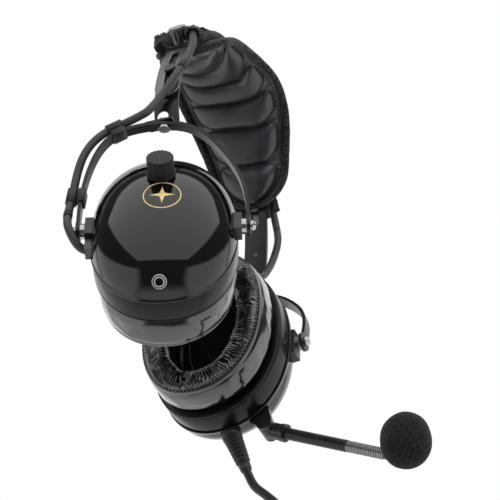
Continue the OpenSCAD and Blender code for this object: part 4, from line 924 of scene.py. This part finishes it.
for side, seed in (("left", 0.0), ("right", 2.3)):
    around = length[:, None] + seed
    uneven = 0.62 + 0.22 * np.sin(5 * around + 1) + 0.16 * np.sin(13 * around + 4 * np.sin(3 * around))
    zigzag = 0.9 * np.abs((g / 21 + 0.7 * np.sin(9 * around)) % 2 - 1)
    phase = 66 * around + 1.6 * np.sin(7 * around) + 1.1 * np.sin(17 * around + 1) + 2.4 * zigzag
    crease = 1 - 1.55 * np.abs(np.sin(phase)) ** 0.75
    fine_crease = np.sin(131 * around + 3.1 * zigzag + np.sin(g / 9))
    gathered = np.clip((g - 46) / 12, 0, 1) * np.clip((150 - g) / 70, 0, 1)
    swell = gathered * uneven * (1.1 * crease + 0.25 * fine_crease)
    swell += hump(g, 0.75, 39, 3.2) - hump(g, 0.75, SEAM_AT, 4.5) - hump(g, 0.3, 31, 5)
    tight = np.clip(1 - np.abs((g + 180) % 360 - 180 + 14) / 48, 0, 1)
    swell += tight * (0.22 * np.sin((g + 30 * np.sin(2 * around)) / 8)
                      + 0.16 * np.sin(9 * around + 2.5 * np.sin(2 * around))
                      + 0.1 * np.sin(23 * around + g / 30))
    x, y = roll(g)
    a = np.radians(g)
    across = x + swell * np.cos(a)
    high = np.maximum(FLAT_BACK, y) + swell * np.sin(a).clip(-0.2)
    rings = np.concatenate([(SEAL_N - high)[..., None],
                            seal_middle(f)[:, None] + outward[:, None] * across[..., None]], 2)
    on_cup("ear_seal_roll_" + side, rings, side, vinyl, "seal vinyl", "ear_seal_" + side, loop=True,
           soft=0.85)
    x, y = roll(SEAM_AT)
    seam = np.column_stack([np.full(SEAL_AROUND, SEAL_N - y + 0.1), seal_middle(f) + outward * x])
    stitched("seal_stitches_" + side, cup_place(seam, side), "cup_" + side, "seal vinyl", 2.6, 1.9, 0.4, True)

# ---- Liners and speakers ----
# A thin sheet of open foam under black cloth covers the speaker inside each seal; a heat-
# pressed line runs round it near the edge.
liner_cloth = grain(material("liner foam", 0.005, 0.95, Specular_IOR_Level=0.15), 0.0014, 0.0003,
                    shades=(0.002, 0.006), cells=True)
pressed_line = grain(material("pressed line", 0.05, 0.5), 0.0006, 0.00003, shades=(0.04, 0.07))
PRESSED = 25.2  # how far inside the cup's edge the line runs
t = circle(8)[:, None]
for side in ("left", "right"):
    rings = [cup_ring(-20.15, 2, 10)] + [cup_ring(n, CUP_A - inset, CUP_B - inset) for inset, n in (
        (21.7, -20.15), (21.5, -21), (21.5, -22.4), (22.2, -23.0), (24, -23.5), (PRESSED, -23.1),
        (27, -23.7), (31, -24.1), (36, -24.3), (39.5, -24.35))]
    on_cup("liner_" + side, rings, side, liner_cloth, "liner foam", "foam_liner_" + side, soft=0.5)
    rings = [p + 0.35 * (np.cos(t) * np.array([1, 0, 0]) + np.sin(t) * unit([0, p[1], p[2]]))
             for p in cup_ring(-23.35, CUP_A - PRESSED, CUP_B - PRESSED)]
    on_cup("liner_line_" + side, rings, side, pressed_line, "liner foam", loop=True)
    dressed("speaker_" + side, black_steel, "speaker metal", 0.3)

# ---- Pivots ----
# Moulded blocks on the front and rear of each dome carry a brass bush and a domed, nickel-
# plated screw, on which the stirrup's ears turn.
block_black = grain(material("pivot block", 0.014, 0.34, Coat_Weight=0.25), 0.0006, 0.00003,
                    shades=(0.01, 0.02), rough=(0.28, 0.42))
for side in ("left", "right"):
    dressed("pivot_blocks_" + side, block_black, "clip plastic", 0.5)
    dressed("pivot_screws_" + side, chrome, "bright screws", 0.25)

# ---- Headphone jack and volume control ----
# A jack socket on the right cup, its mouth ringed in black and in near-white rings whose colour is a painted
# highlight of polished metal, and a knurled volume knob whose skirt and grip are one phenolic moulding with a
# flat top.
dressed("jack_socket", chrome, "bright screws", 0.2)
dressed("volume_pot", chrome, "bright screws", 0.2)
# The bezel and lip are nearly white with little metal in them: a painted highlight standing in for the glint
# of polished metal.
jack_ring_painted_highlight = material("jack ring painted highlight", 0.95, 0.3, 0.15)
JACK_OUT, JACK_UP, JACK_TURN = 6.2, -51.2, 148  # the face of the socket in the cup's frame
t = circle(48)
for name, inner, outer, base, top, finish in (("jack_bezel", 3.55, 3.95, -0.5, 0.8, jack_ring_painted_highlight),
                                              ("jack_lip", 2.3, 2.8, 0.2, 1.15, jack_ring_painted_highlight),
                                              ("jack_groove", 2.8, 3.55, 0.2, 1.08, block_black),
                                              ("jack_mouth", 1.74, 2.3, 0.2, 1.1, block_black)):
    rings = []
    for r, h in ((inner, base), (outer - 0.1, base), (outer, top - 0.15), (outer - 0.12, top),
                 (inner + 0.12, top), (inner, top - 0.12)):
        z, x = rotated(h, r * np.cos(t), JACK_TURN)
        rings.append(np.column_stack([JACK_OUT + x, r * np.sin(t), JACK_UP + z]))
    on_cup(name, rings, "right", finish, "bright screws", loop=True)
phenolic = grain(material("volume knob plastic", 0.012, 0.4, Specular_IOR_Level=0.4), 0.0005, 0.00003,
                 shades=(0.008, 0.018), rough=(0.34, 0.5), patch=0.006)
dressed("volume_knob", phenolic, "knob plastic", 0.3, 40)

# ---- Boom ----
# A knuckle on a lug of the left cup, a straight anodised tube, a short sprung neck and the
# capsule that the windscreen covers.
boom_black = grain(material("boom tube", 0.02, 0.26, 0.35), 0.0005, 0.00001, shades=(0.014, 0.03),
                   rough=(0.2, 0.34), patch=0.02)
dressed("boom_mount", block_black, "clip plastic", 0.4)
dressed("boom_hub", block_black, "clip plastic", 0.35)
dressed("boom_tube", boom_black, "boom tube", 0.2)
neck_steel = material("neck steel", 0.3, 0.28, 0.9)
dressed("gooseneck", neck_steel, "boom tube", 0.12)
dressed("mic_capsule", block_black, "clip plastic", 0.2)

# ---- Windscreen ----
# An open-cell foam ball with a slightly flattened base, pitted all over, that stands upright
# at the end of the sloping boom.
foam_black = material("windscreen foam", 0.012, 1.0, Sheen_Weight=0.12, Sheen_Roughness=0.5,
                      Specular_IOR_Level=0.15)
grain(foam_black, 0.0013, 0.0005, shades=(0.022, 0.008), cells=True)
BOOM_SLOPE, FOAM_R, FOAM_H = 28.5, 14, 16.25
rings = []
for a in np.radians(np.linspace(-86, 88, 90)):
    r = FOAM_R * power(math.cos(a), 2.15)
    h = FOAM_H * power(math.sin(a), 2.15) * (0.96 if a < 0 else 1)
    for b in circle(150):
        p = np.array([r * math.cos(b), r * math.sin(b), h])
        pit = noise.noise(p / 0.55) * 0.14 + noise.noise(p / 1.4 + np.array([9.0, 4.0, 2.0])) * 0.1
        pit += noise.noise(p / 9) * 0.3
        rings.append(p * (1 + pit / 16))
x, y, z = np.moveaxis(np.reshape(rings, (90, 150, 3)), -1, 0)
y, z = rotated(y, z, -BOOM_SLOPE)
y, z = rotated(y - 87, z + 10.6, BOOM_SLOPE)
settle(skin("windscreen_foam", cup_place(np.stack([x + 5, y - 24, z - 54], -1), "left"), foam_black),
       "boom", "windscreen foam", "windscreen", soft=0.9)

# ---- Studio ----
# A pale floor that neither the camera nor a mirror sees, a white surround, and two large soft
# lamps. Mirrors see a box overhead, a panel at each side, a dim table and a white backdrop.
floor_mesh = bpy.data.meshes.new("studio_floor")
floor_mesh.from_pydata([(-6, -6, -1.3), (6, -6, -1.3), (6, 6, -1.3), (-6, 6, -1.3)], [], [(0, 1, 2, 3)])
floor_mesh.materials.append(grain(material("studio floor", 0.86, 0.7), 0.05, 0.0002))
floor = add("studio_floor", floor_mesh)
floor.visible_glossy = False
floor.visible_camera = False
world = bpy.data.worlds.new("studio")
world.use_nodes = True
bpy.context.scene.world = world
world.node_tree.nodes.clear()
direction = node(world, "TexCoord").outputs["Generated"]


def toward(axis):
    """How far a ray runs along an axis, -1 to 1."""
    along = node(world, "VectorMath", dict(operation="DOT_PRODUCT"), i0=direction, i1=axis)
    return Value(world, along.outputs["Value"])


def ramp(value, none, full):
    """0 to 1, smoothly, as a value goes from none to full."""
    smooth = dict(interpolation_type="SMOOTHSTEP")
    return Value(world, node(world, "MapRange", smooth, i0=value, i1=none, i2=full).outputs[0])


def most(first, *others):
    for other in others:
        first = first.maths("MAXIMUM", first, other)
    return first


across, above, behind = toward((0.322, -0.944, 0.074)), toward((-0.697, -0.184, 0.693)), toward(
    (-0.640, -0.275, -0.717))
aside = abs(across)
box = (ramp(aside - 1.3 * above, 0.05, -0.05) * ramp(behind + 0.68 * above, 0.0, 0.06)
       * ramp(behind - 1.85 * above, 0.05, -0.05) * (1.15 - 0.25 * behind))
panels = 0.95 * ramp(aside, 0.45, 0.68) * ramp(above, 0.22, 0.12) * ramp(behind, -0.7, -0.56)
table = 0.8 * ramp(above, -0.4, -0.85)
backdrop = ramp(behind, -0.6, -0.74)
rays = node(world, "LightPath").outputs
glossy = Value(world, rays["Is Glossy Ray"])
mirrored = glossy * (0.1 + 0.9 * most(box, panels, backdrop, table))
strength = most(mirrored, rays["Is Camera Ray"], rays["Is Transmission Ray"], 0.55 - 0.55 * glossy)
sky = node(world, "Background", Color=(1, 1, 1, 1), Strength=strength).outputs[0]
node(world, "OutputWorld", Surface=sky)
aim = Vector((0, 0, -0.2))
for name, place, size, watts in (("lamp_above", (-1.3, -0.5, 0.8), 1.4, 13),
                                 ("lamp_front", (-0.2, -1.6, -0.3), 1.0, 5)):
    lamp = bpy.data.lights.new(name, "AREA")
    lamp.size = size
    lamp.energy = watts
    holder = add(name, lamp)
    facing = (aim - Vector(place)).to_track_quat("-Z", "Y")
    holder.matrix_world = Matrix.Translation(place) @ facing.to_matrix().to_4x4()
    holder.visible_glossy = False

bpy.context.scene.view_settings.view_transform = "Standard"
